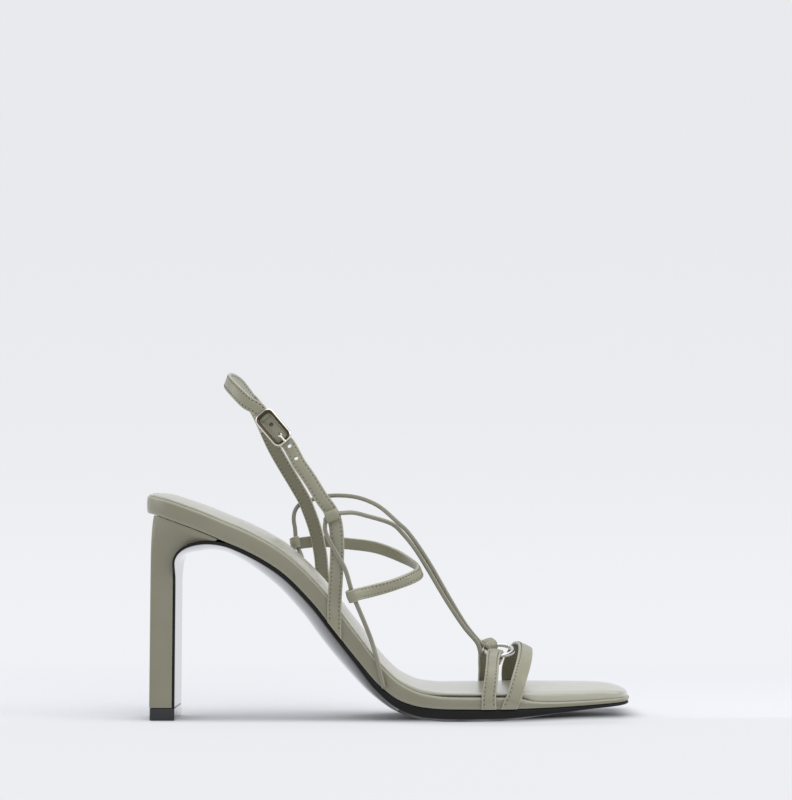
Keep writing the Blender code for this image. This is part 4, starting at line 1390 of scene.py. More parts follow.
@dataclass
class SeamStitcher:
    """Sews rows of stitches: a Geometry Nodes tree that sets one shape along many lines."""

    pitch: float = 0.0019
    thread_length: float = 0.00125
    thread_width: float = 0.00034
    hole_width: float = 0.00050

    def tree(self) -> bpy.types.NodeTree:
        """The tree that lays beads along seam lines, built on first use.

        Returns:
            The tree.
        """
        found = bpy.data.node_groups.get("seam_beads")
        if found:
            return found
        made = bpy.data.node_groups.new("seam_beads", "GeometryNodeTree")
        ports = made.interface
        ports.new_socket(name="Geometry", in_out="INPUT", socket_type="NodeSocketGeometry")
        for name in ("Pitch", "Start", "Length", "Width"):
            ports.new_socket(name=name, in_out="INPUT", socket_type="NodeSocketFloat")
        ports.new_socket(name="Seed", in_out="INPUT", socket_type="NodeSocketInt")
        ports.new_socket(name="Finish", in_out="INPUT", socket_type="NodeSocketMaterial")
        ports.new_socket(name="Geometry", in_out="OUTPUT", socket_type="NodeSocketGeometry")

        def node(kind: str) -> bpy.types.Node:
            """Adds a node to the tree."""
            return made.nodes.new(kind)

        given, result = node("NodeGroupInput"), node("NodeGroupOutput")
        lines = node("GeometryNodeMeshToCurve")
        trim = node("GeometryNodeTrimCurve")
        trim.mode = "LENGTH"
        for socket in trim.inputs:
            if socket.name == "End":
                socket.default_value = 1.0 if socket.identifier == "End" else 10.0
        trim_start = [s for s in trim.inputs if s.name == "Start"][-1]
        spots = node("GeometryNodeCurveToPoints")
        spots.mode = "LENGTH"
        bead = node("GeometryNodeMeshUVSphere")
        bead.inputs["Segments"].default_value = 8
        bead.inputs["Rings"].default_value = 5
        bead.inputs["Radius"].default_value = 0.5
        round_off = node("GeometryNodeSetShadeSmooth")
        size = node("ShaderNodeCombineXYZ")
        vary = node("FunctionNodeRandomValue")
        vary.data_type = "FLOAT"
        lay = node("GeometryNodeInstanceOnPoints")
        real = node("GeometryNodeRealizeInstances")
        paint = node("GeometryNodeSetMaterial")
        floats = [s for s in vary.inputs if s.type == "VALUE"]
        floats[0].default_value, floats[1].default_value = 0.88, 1.08
        times = node("ShaderNodeMath")
        times.operation = "MULTIPLY"
        varied = next(s for s in vary.outputs if s.type == "VALUE")
        for source, target in (
            (given.outputs["Geometry"], lines.inputs["Mesh"]),
            (lines.outputs["Curve"], trim.inputs["Curve"]),
            (given.outputs["Start"], trim_start),
            (trim.outputs["Curve"], spots.inputs["Curve"]),
            (given.outputs["Pitch"], spots.inputs["Length"]),
            (given.outputs["Seed"], next(s for s in vary.inputs if s.name == "Seed")),
            (varied, times.inputs[0]),
            (given.outputs["Length"], times.inputs[1]),
            (given.outputs["Width"], size.inputs["X"]),
            (given.outputs["Width"], size.inputs["Y"]),
            (times.outputs[0], size.inputs["Z"]),
            (bead.outputs["Mesh"], round_off.inputs["Geometry"]),
            (spots.outputs["Points"], lay.inputs["Points"]),
            (spots.outputs["Rotation"], lay.inputs["Rotation"]),
            (size.outputs["Vector"], lay.inputs["Scale"]),
            (round_off.outputs["Geometry"], lay.inputs["Instance"]),
            (lay.outputs["Instances"], real.inputs["Geometry"]),
            (real.outputs["Geometry"], paint.inputs["Geometry"]),
            (given.outputs["Finish"], paint.inputs["Material"]),
            (paint.outputs["Geometry"], result.inputs["Geometry"]),
        ):
            made.links.new(source, target)
        return made

    def beads(
        self, name: str, seams: list[Line], start: float, length: float, width: float,
        finish: Finish,
    ) -> Piece:
        """Lays one kind of bead along the seams.

        Args:
            name: the piece's name.
            seams: the seam lines.
            start: where the first bead lies along each.
            length: a bead's length.
            width: a bead's width.
            finish: a bead's finish.

        Returns:
            The beads as one plain mesh.
        """
        mesh = bpy.data.meshes.new(name)
        points, edges = [], []
        for seam in seams:
            first = len(points)
            points += seam
            edges += [(first + i, first + i + 1) for i in range(len(seam) - 1)]
        mesh.from_pydata([tuple(p) for p in points], edges, [])
        piece = bpy.data.objects.new(name, mesh)
        bpy.context.scene.collection.objects.link(piece)
        tree = self.tree()
        layer = piece.modifiers.new("beads", "NODES")
        layer.node_group = tree
        values = {
            "Pitch": self.pitch, "Start": start, "Length": length, "Width": width, "Seed": 7,
            "Finish": finish.material(),
        }
        for item in tree.interface.items_tree:
            if item.in_out == "INPUT" and item.name in values:
                layer[item.identifier] = values[item.name]
        return applied(piece)

    def sew(self, name: str, seams: list[Line]) -> list[Piece]:
        """Sews the seams.

        Args:
            name: the first word of the pieces' names.
            seams: the seam lines.

        Returns:
            The thread and the needle holes.
        """
        return [
            self.beads(f"{name}_thread", seams, self.pitch * 0.25, self.thread_length,
                       self.thread_width, Finish.THREAD),
            self.beads(f"{name}_needle_holes", seams, self.pitch * 0.75, self.hole_width,
                       self.hole_width, Finish.NEEDLE_HOLE),
        ]


@dataclass
class StrapWork(SubAssembly):
    """What all the strap groups share: routes on the footbed's wall, strap skins and seams."""

    section: StrapSection = field(default_factory=StrapSection)
    stitcher: SeamStitcher = field(default_factory=SeamStitcher)
    foot_depth: float = 0.0002
    # Height share above which a strap's back faces take painted light.
    painted_light_above: float = 0.83

    @property
    def half(self) -> float:
        """Half of a strap's thickness."""
        return self.section.thickness / 2

    def wall_foot(self, along: float, side: int) -> tuple[Vector, Vector, Vector]:
        """Three points up the footbed's wall, where a strap is tucked in under it.

        Args:
            along: the place along the sole.
            side: -1 for the outer side, 1 for the inner side.

        Returns:
            The low, middle and top point.
        """
        form = self.form
        x = form.x_at(along)
        y = side * (form.half_width(x, side) + form.clearance + self.half)
        top = Vector((x, y, form.wall_top(x) + 0.0006))
        low = Vector((x, y, form.underside(x) + self.foot_depth))
        return low, low.lerp(top, 0.5), top

    def ways_round(self, points: Line, core: Callable[[Vector], Vector]) -> Line:
        """The direction of a strap's width at each point, for a strap that faces off a core.

        Args:
            points: the strap's points.
            core: the point inside that each of them faces away from.

        Returns:
            The directions. Low on the footbed's wall they follow the wall's lower edge.
        """
        form = self.form
        ways = []
        for i, point in enumerate(points):
            along = (points[min(i + 1, len(points) - 1)] - points[max(i - 1, 0)]).normalized()
            out = (point - core(point)).normalized()
            side = 1 if point.y > 0 else -1
            top = form.wall_top(point.x)
            near = abs(abs(point.y) - form.half_width(point.x, side)) < form.wall_height
            rise = ease((point.z - top) / form.wall_height) if near else 1.0
            out = form.wall_out(point.x, side).lerp(out, rise)
            out = (out - along * out.dot(along)).normalized()
            way = along.cross(out).normalized()
            if near and point.z < top:
                facing = form.wall_out(point.x, side)
                flat = form.slope(point.x)
                edge = Vector((flat.x, -facing.x / facing.y * flat.x, flat.y)).normalized()
                edge = edge if edge.dot(way) > 0 else -edge
                edge = edge / max(0.4, edge.cross(along).length)
                part = (top - point.z) / (top - form.underside(point.x))
                way = way.lerp(edge, min(1.0, part))
            ways.append(way)
        return ways

    def ankle_core(self, point: Vector) -> Vector:
        """A core up the middle of the ankle: level low down, and a leaning line above.

        Args:
            point: a point of a strap.

        Returns:
            The point of the core that it faces away from.
        """
        form = self.form
        level = Vector((point.x - 0.0015, 0.0, point.z))
        middle = form.place(ANKLE_MIDDLE)
        lean = Vector((0.34, 0.0, 0.94)).normalized()
        line = middle + lean * (point - middle).dot(lean)
        return level.lerp(line, ease((point.z / form.strap_top - 0.80) / 0.13))

    def strap(
        self, name: str, route: Route, facing: Facing = Facing.SAME, finish: Finish = Finish.UPPER
    ) -> Piece:
        """Skins a strap along its route.

        Args:
            name: the piece's name.
            route: the strap's line, already fine enough.
            facing: which side of the route is the outer face.
            finish: the strap's finish.

        Returns:
            The strap.
        """
        skin = Skin(name, finish)
        # The back faces take a darker copy of the upper leather as painted shade.
        skin.finishes.append(Finish.UPPER_BACK_PAINTED_SHADE)
        rows = []
        rims: list[float] = []
        for i, (point, way, width) in enumerate(zip(route.points, route.ways, route.widths)):
            normal = route.normal(i) * facing.value
            outline = self.section.outline(width)
            rims = [rim for _, _, rim in outline]
            rows.append([point + way * across + normal * level for across, level, _ in outline])
        backs = [int(level < 0 and not rim) for _, level, rim in self.section.outline(1.0)]
        made = skin.loops(rows, rims=rims, slots=backs)
        for ring in (made[0], made[-1]):
            skin.bm.faces.new(ring)
            for vert in ring:
                vert[skin.rim] = self.section.edge_rim
        # Painted light: high up on the strap, the back faces take the pale sock finish; a height
        # share of 0 gives every face the upper finish instead.
        skin.finishes.append(Finish.SOCK)
        for face in skin.bm.faces:
            if face.calc_center_median().z > self.form.strap_top * self.painted_light_above:
                face.material_index = 2 * face.material_index if self.painted_light_above > 0 else 0
        return skin.piece(50.0)

    def pair_of_seams(
        self, route: Route, facing: Facing, start: int, end: int, sides: tuple[int, ...] = (-1, 1)
    ) -> list[Line]:
        """Seam lines a little inside a strap's edges.

        Args:
            route: the strap's line.
            facing: which side of the route is the outer face.
            start: the first point used.
            end: the point after the last one used.
            sides: which of the two edges are sewn.

        Returns:
            One line for each side.
        """
        level = (self.half + 0.00001) * facing.value
        found = []
        for side in sides:
            part = side * (0.5 - self.section.seam_inset / route.widths[(start + end) // 2])
            found.append(route.seam(part, level, start, end))
        return found

    def facing(self, route: Route, at: int, out: Vector) -> Facing:
        """Which side of a route faces out at one point."""
        return Facing.SAME if route.normal(at).dot(out) > 0 else Facing.TURNED

    def sew(self, name: str, seams: list[Line]) -> None:
        """Sews seams and keeps their thread and needle holes."""
        for piece in self.stitcher.sew(name, seams):
            self.keep(piece, "leather")


@dataclass
class ForefootStraps(StrapWork):
    """The toe strap, the ring and the two straps that hold it."""

    toe_width: float = 0.0068
    ring_strap_width: float = 0.0060
    ring_diameter: float = 0.0150
    ring_wire: float = 0.0020
    ring_tilt: float = math.radians(19.0)
    outer_fold: float = math.radians(-107.0)
    inner_fold: float = math.radians(128.0)

    def build(self) -> None:
        """Builds the toe strap, the ring and the ring straps."""
        self.build_toe_strap()
        self.keep(self.make_ring(), "ring_metal", "ring")
        self.build_ring_strap("ring_strap_outer", RING_STRAP_OUTER, -1)
        self.build_ring_strap("ring_strap_inner", RING_STRAP_INNER, 1)

    def build_toe_strap(self) -> None:
        """The strap across the toes, tucked in at both walls and sewn along both edges."""
        low_o, mid_o, top_o = self.wall_foot(0.744, -1)
        low_i, mid_i, top_i = self.wall_foot(0.766, 1)
        mid_o.x += 0.0010
        top_o.x += 0.0024
        points = [low_o, mid_o, top_o] + [self.form.place(s) for s in TOE_STRAP]
        points = spline(points + [top_i, mid_i, low_i], 3)
        core_back = self.toe_width * 1.6
        ways = self.ways_round(
            points, lambda p: Vector((p.x - core_back, 0.0, self.form.ball_thickness))
        )
        route = Route(points, ways, [self.toe_width] * len(points)).refined(5)
        facing = self.facing(route, len(route.points) // 2, Vector((0.0, 0.0, 1.0)))
        self.keep(self.strap("toe_strap_band", route, facing), "leather", "toe_strap")
        rear = 1 if route.ways[len(route.ways) // 2].x < 0 else -1
        seams = self.pair_of_seams(route, facing, 4, len(route.points) - 4, (rear,))
        self.sew("toe_strap", seams)

    def ring_centre(self) -> Vector:
        """The middle of the ring."""
        return self.form.place(RING_PLACE)

    def ring_point(self, angle: float) -> Vector:
        """A point on the middle line of the ring's wire.

        Args:
            angle: its place, 0 at the front and a quarter turn on the inner side.

        Returns:
            The point.
        """
        radius = (self.ring_diameter - self.ring_wire) / 2
        flat = Vector((radius * math.cos(angle), radius * math.sin(angle), 0.0))
        return self.ring_centre() + Matrix.Rotation(self.ring_tilt, 3, "X") @ flat

    def make_ring(self) -> Piece:
        """The polished wire ring.

        Returns:
            The ring.
        """
        tilt = Matrix.Rotation(self.ring_tilt, 3, "X")
        up = tilt @ Vector((0.0, 0.0, 1.0))
        rows = []
        for i in range(97):
            turn = 2 * math.pi * i / 96
            middle = self.ring_point(turn)
            out = (middle - self.ring_centre()).normalized()
            rows.append([
                middle + (out * math.cos(t) + up * math.sin(t)) * self.ring_wire / 2
                for t in (2 * math.pi * k / 20 for k in range(20))
            ])
        skin = Skin("forefoot_ring", Finish.RING)
        skin.loops(rows)
        return skin.piece()

    def build_ring_strap(self, node: str, stops: tuple[Stop, ...], side: int) -> None:
        """A strap from the footbed's wall to the ring, folded round its wire and sewn down.

        Args:
            node: the CAD node that it stands for.
            stops: its way from the wall to the ring.
            side: -1 for the outer side, 1 for the inner side.
        """
        form = self.form
        low, mid, top = self.wall_foot(0.704 if side < 0 else 0.712, side)
        angle = self.outer_fold if side < 0 else self.inner_fold
        ring_radius = (self.ring_diameter - self.ring_wire) / 2
        sag = (self.ring_strap_width * 0.30) ** 2 / (2 * ring_radius)
        wire = self.ring_point(angle).lerp(self.ring_centre(), sag / 2 / ring_radius)
        radius = self.ring_wire / 2 + form.clearance / 3 + sag + self.half
        line = spline([low, mid, top] + [form.place(s) for s in stops], 3)
        tilt = Matrix.Rotation(self.ring_tilt, 3, "X")
        outward = tilt @ Vector((math.cos(angle), math.sin(angle), 0.0))
        up = tilt @ Vector((0.0, 0.0, 1.0))
        axis = up.cross(-outward).normalized()
        fold = wrap(wire, up, axis, radius, math.radians(200.0), 7)
        lead = spline([line[-1], fold[0] + outward * radius * 1.1, fold[0]], 2)[1:-1]
        tail = fold[-1] + outward * 0.0032 - up * 0.0003
        points = line + lead + fold + [tail]
        ways = self.ways_round(points, lambda p: Vector((p.x, 0.0, form.ball_thickness)))
        sideways = axis * (1.0 if axis.dot(ways[6]) > 0 else -1.0)
        for i in range(len(points)):
            ways[i] = ways[i].lerp(sideways, min(1.0, max(0.0, (i - 5) / 4)))
        widths = [
            self.ring_strap_width * (1.10 - 0.12 * min(1.0, i / (len(line) - 1)))
            * (1 + (side < 0) * 0.12 * ease((i - len(line) + 3) / 4))
            for i in range(len(points))
        ]
        route = Route(points, ways, widths).refined(5)
        at = len(line) * 5 // 2
        facing = self.facing(route, at, Vector((0.0, side * 0.7, 0.7)))
        self.keep(self.strap(node + "_band", route, facing), "leather", node)
        self.sew(node, self.pair_of_seams(route, facing, 4, (len(line) + 1) * 5))


def wrap(
    centre: Vector, start: Vector, axis: Vector, radius: float, sweep: float, count: int
) -> Line:
    """Points round a bar.

    Args:
        centre: the bar's middle.
        start: the direction of the first point.
        axis: the bar's direction.
        radius: their distance from the middle.
        sweep: the angle that they cover.
        count: the number of steps.

    Returns:
        The points.
    """
    return [
        centre + Matrix.Rotation(sweep * k / count, 3, axis) @ start.normalized() * radius
        for k in range(count + 1)
    ]


def tube(
    name: str, points: Line, radius: float, finish: Finish, closed: bool = False,
    sides: int = 16, flat: float = 1.0, groove: float = 0.0, up: Vector | None = None,
    middle: Vector | None = None,
) -> Piece:
    """A round wire or cord along points, with domed ends.

    Args:
        name: the piece's name.
        points: its middle line.
        radius: its radius.
        finish: its finish.
        closed: whether it is a ring.
        sides: the number of faces round it.
        flat: its height as a share of its width.
        groove: the depth of a seam along it.
        up: the direction that its height starts in.
        middle: the middle of a frame, whose inner side gets a painted dark reflection.

    Returns:
        The piece.
    """
    last = len(points) - 1
    rows, rims = [], []
    side = None
    for i, point in enumerate(points):
        if closed:
            along = points[(i + 1) % (last + 1)] - points[i - 1]
        else:
            along = points[min(i + 1, last)] - points[max(i - 1, 0)]
        along.normalize()
        if side is None:
            guess = up.cross(along) if up else along.orthogonal()
            side = guess.normalized()
        side = (side - along * side.dot(along)).normalized()
        high = side.cross(along).normalized()
        row = []
        rims = []
        for k in range(sides):
            turn = 2 * math.pi * k / sides
            dip = groove if k == sides // 2 else 0.0
            reach = radius - dip
            off = side * math.cos(turn) + high * math.sin(turn) * flat
            row.append(point + off * reach)
            # On a frame, the side facing its middle is marked for a painted dark reflection; a seam
            # groove is marked for its edge colour.
            inward = (middle - point).normalized().dot(off.normalized()) if middle else 0.0
            rims.append(1.0 if dip else ease((inward + 0.55) / 0.40) if middle else 0.0)
        rows.append(row)
    if closed:
        rows.append(rows[0])
    else:
        for end, inner in ((0, 1), (last, last - 1)):
            out = (points[end] - points[inner]).normalized()
            tip = points[end]
            domes = []
            for k in (1, 2):
                turn = math.radians(38 * k)
                domes.append([
                    tip + (p - tip) * math.cos(turn) + out * radius * 0.6 * math.sin(turn)
                    for p in rows[0 if end == 0 else -1]
                ])
            rows = domes[::-1] + rows if end == 0 else rows + domes
    skin = Skin(name, finish)
    made = skin.loops(rows, rims=rims)
    if not closed:
        skin.bm.faces.new(made[0])
        skin.bm.faces.new(made[-1])
    return skin.piece(60.0)


@dataclass
class AnkleStraps(StrapWork):
    """The two ankle straps and the buckle that joins them."""

    width: float = 0.0064
    buckle_length: float = 0.0178
    buckle_width: float = 0.0094
    buckle_wire: float = 0.0015
    frame_wire: float = 0.0019
    prong_wire: float = 0.0010
    hole: float = 0.0020
    hole_pitch: float = 0.0066
    prong_hole_back: float = 0.0038
    lap: float = 0.0022

    def build(self) -> None:
        """Builds the straps and the buckle."""
        self.build_outer_strap()
        self.build_inner_strap()
        self.keep(self.make_frame(), "buckle_metal", "buckle_frame")
        self.keep(self.make_prong(), "buckle_metal", "buckle_prong")

    def buckle_axes(self) -> tuple[Vector, Vector, Vector]:
        """The buckle's own directions.

        Returns:
            The directions down the strap, across it, and out from the ankle.
        """
        below = self.form.place(ANKLE_STRAP_OUTER[-1])
        above = self.form.place(HEEL_LOOP[0])
        down = (below - above).normalized()
        out = Vector((-0.05, -1.0, 0.0))
        out = (out - down * out.dot(down)).normalized()
        return down, down.cross(out).normalized(), out

    def at_buckle(self, along: float, level: float, across: float = 0.0) -> Vector:
        """A point given along, off and across the buckle."""
        down, wide, out = self.buckle_axes()
        return self.form.place(BUCKLE_PLACE) + down * along + out * level + wide * across

    @property
    def bar(self) -> float:
        """Distance from the buckle's middle to the middle of an end bar."""
        return (self.buckle_length - self.buckle_wire) / 2

    @property
    def under(self) -> float:
        """Distance from a bar's middle to that of a strap that lies against it."""
        return self.buckle_wire / 2 + self.form.clearance + self.half

    @property
    def narrow(self) -> float:
        """A strap's width where it lies inside the buckle."""
        return self.buckle_width * 0.67

    def build_outer_strap(self) -> None:
        """The strap with holes: from the outer wall, through the buckle, its end under the loop."""
        form, bar, under = self.form, self.bar, self.under
        low, mid, top = self.wall_foot(0.395, -1)
        line = spline([low, mid, top] + [form.place(s) for s in ANKLE_STRAP_OUTER], 3)
        deep = under + self.section.thickness + form.clearance
        inside = [
            self.at_buckle(bar + 0.0030, -under),
            self.at_buckle(bar, -under),
            self.at_buckle(bar * 0.45, -under * 1.1),
            self.at_buckle(-bar * 0.4, -deep * 0.96),
            self.at_buckle(-bar, -deep),
            self.at_buckle(-bar - 0.0055, -deep),
            self.at_buckle(-bar - 0.0080, -deep * 0.94),
        ]
        points = line[:-1] + spline([line[-1]] + inside, 3)
        ways = self.ways_round(points, self.ankle_core)
        _, wide, out = self.buckle_axes()
        flip = 1.0 if ways[len(ways) // 2].dot(wide) > 0 else -1.0
        start = len(line)
        widths = []
        for i in range(len(points)):
            part = min(1.0, max(0.0, (i - start + 14) / 14))
            widths.append(self.width + (self.narrow - self.width) * part)
            if i >= start:
                blend = min(1.0, (i - start + 1) / 4)
                ways[i] = (ways[i] * (1 - blend) + wide * flip * blend).normalized()
        first = self.at_buckle(bar - self.prong_hole_back, -under)
        holes = [
            (first, out),
            (self.at_buckle(bar - self.prong_hole_back - self.hole_pitch, -under * 1.5), out),
        ]
        route = Route(points, ways, widths).refined(5)
        way = (line[-3] - self.at_buckle(bar, -under)).normalized()
        for number in (1, 2):
            target = first + way * self.hole_pitch * number
            near = min(
                range(len(route.points)), key=lambda k: (route.points[k] - target).length
            )
            holes.append((route.points[near], route.normal(near)))
        facing = self.facing(route, len(route.points) // 2, Vector((0.0, -1.0, 0.0)))
        band = self.strap("ankle_strap_outer_band", route, facing)
        self.punch(band, holes)
        self.keep(band, "leather", "ankle_strap_outer")
        self.sew("ankle_strap_outer", self.pair_of_seams(route, facing, 5, (start + 2) * 5))

    def punch(self, band: Piece, holes: list[tuple[Vector, Vector]]) -> None:
        """Cuts round holes through a strap.

        Args:
            band: the strap.
            holes: each hole's middle and direction.
        """
        cutters = []
        for number, (centre, normal) in enumerate(holes):
            bm = bmesh.new()
            bmesh.ops.create_cone(
                bm, cap_ends=True, segments=24, radius1=self.hole / 2, radius2=self.hole / 2,
                depth=self.section.thickness * 3,
            )
            turn = Vector((0.0, 0.0, 1.0)).rotation_difference(normal).to_matrix().to_4x4()
            bm.transform(Matrix.Translation(centre) @ turn)
            mesh = bpy.data.meshes.new(f"punch_{number}")
            bm.to_mesh(mesh)
            bm.free()
            cutter = bpy.data.objects.new(mesh.name, mesh)
            bpy.context.scene.collection.objects.link(cutter)
            cut = band.modifiers.new(mesh.name, "BOOLEAN")
            cut.object = cutter
            cut.operation = "DIFFERENCE"
            cutters.append(cutter)
        applied(band)
        for cutter in cutters:
            bpy.data.objects.remove(cutter, do_unlink=True)

    def build_inner_strap(self) -> None:
        """The strap from the inner wall, round the back of the ankle, in under the frame."""
        form, bar, radius = self.form, self.bar, self.under
        low, mid, top = self.wall_foot(0.366, 1)
        loop = [form.place(s) for s in HEEL_LOOP]
        _, wide, _ = self.buckle_axes()
        run = [
            self.at_buckle(-bar + self.lap, -radius),
            self.at_buckle(-bar - 0.0010, -radius),
            self.at_buckle(-bar - 0.0040, -radius * 0.8),
        ]
        points = spline(run + loop, 3) + spline([loop[-1], top, mid, low], 3)[1:]
        ways = self.ways_round(points, self.ankle_core)
        fixed = 6
        flip = 1.0 if ways[fixed + 8].dot(wide) > 0 else -1.0
        for i in range(fixed):
            ways[i] = wide * flip
        for i in range(fixed, fixed + 4):
            blend = (i - fixed + 1) / 5
            ways[i] = (ways[i] * blend + wide * flip * (1 - blend)).normalized()
        narrow = self.narrow
        widths = [
            narrow + (self.width - narrow) * min(1.0, max(0.0, (i - 2) / 5))
            for i in range(len(points))
        ]
        route = Route(points, ways, widths).refined(5)
        facing = self.facing(route, (fixed + 3) * 5, Vector((0.0, -1.0, 0.0)))
        band = self.strap("ankle_strap_inner_band", route, facing)
        self.keep(band, "leather", "ankle_strap_inner")
        deeper = radius + (self.section.thickness + form.clearance) * 2
        lining = spline([
            self.at_buckle(-bar + 0.0078, -deeper + 0.0004),
            self.at_buckle(-bar, -deeper),
            self.at_buckle(-bar - 0.0070, -deeper),
            self.at_buckle(-bar - 0.0100, -deeper * 0.9),
        ], 3)
        backing = Route(lining, [wide * flip] * len(lining), [narrow] * len(lining)).refined(3)
        self.keep(self.strap("ankle_strap_inner_backing", backing, facing), "leather")
        start = fixed * 5 // 2
        seams = self.pair_of_seams(route, facing, start, len(route.points) - 5)
        backs = [
            [p - route.normal(start + i) * facing.value * self.section.thickness
             for i, p in enumerate(seam)]
            for seam in seams
        ]
        self.sew("ankle_strap_inner", seams + backs)

    def make_frame(self) -> Piece:
        """The buckle's frame: one wire bent to a rounded rectangle, with a painted dark reflection
        on its inner side.

        Returns:
            The frame.
        """
        half_long = self.bar
        half_wide = (self.buckle_width - self.buckle_wire) / 2
        corner = half_wide * 0.60
        points = []
        for sx, sy, start in ((1, 1, 0), (-1, 1, 90), (-1, -1, 180), (1, -1, 270)):
            for k in range(9):
                turn = math.radians(start + 90 * k / 8)
                points.append(self.at_buckle(
                    sx * (half_long - corner) + corner * math.cos(turn), 0.0,
                    sy * (half_wide - corner) + corner * math.sin(turn),
                ))
        _, _, out = self.buckle_axes()
        return tube("buckle_frame_wire", points, self.frame_wire / 2, Finish.BUCKLE, True, 24, 0.85,
                    up=out, middle=self.at_buckle(0.0, 0.0))

    def make_prong(self) -> Piece:
        """The prong: from under the strap, up through the hole and over the front bar.

        Returns:
            The prong.
        """
        bar, under = self.bar, self.under
        hole = bar - self.prong_hole_back
        reach = self.prong_wire / 2 + self.form.clearance
        deep = under + self.half + reach
        over = self.buckle_wire / 2 + reach
        points = [
            self.at_buckle(-bar * 0.15, -deep - self.section.thickness * 1.35),
            self.at_buckle(hole - 0.0026, -deep - 0.0006),
            self.at_buckle(hole - 0.0010, -deep - 0.0001),
            self.at_buckle(hole, -deep * 0.86),
            self.at_buckle(hole, -under),
            self.at_buckle(hole + 0.0002, -over * 0.30),
            self.at_buckle(hole + 0.0012, over * 0.62),
            self.at_buckle(bar - 0.0004, over),
            self.at_buckle(bar + 0.0009, over * 0.72),
        ]
        return tube("buckle_prong_wire", spline(points, 5), self.prong_wire / 2, Finish.BUCKLE)


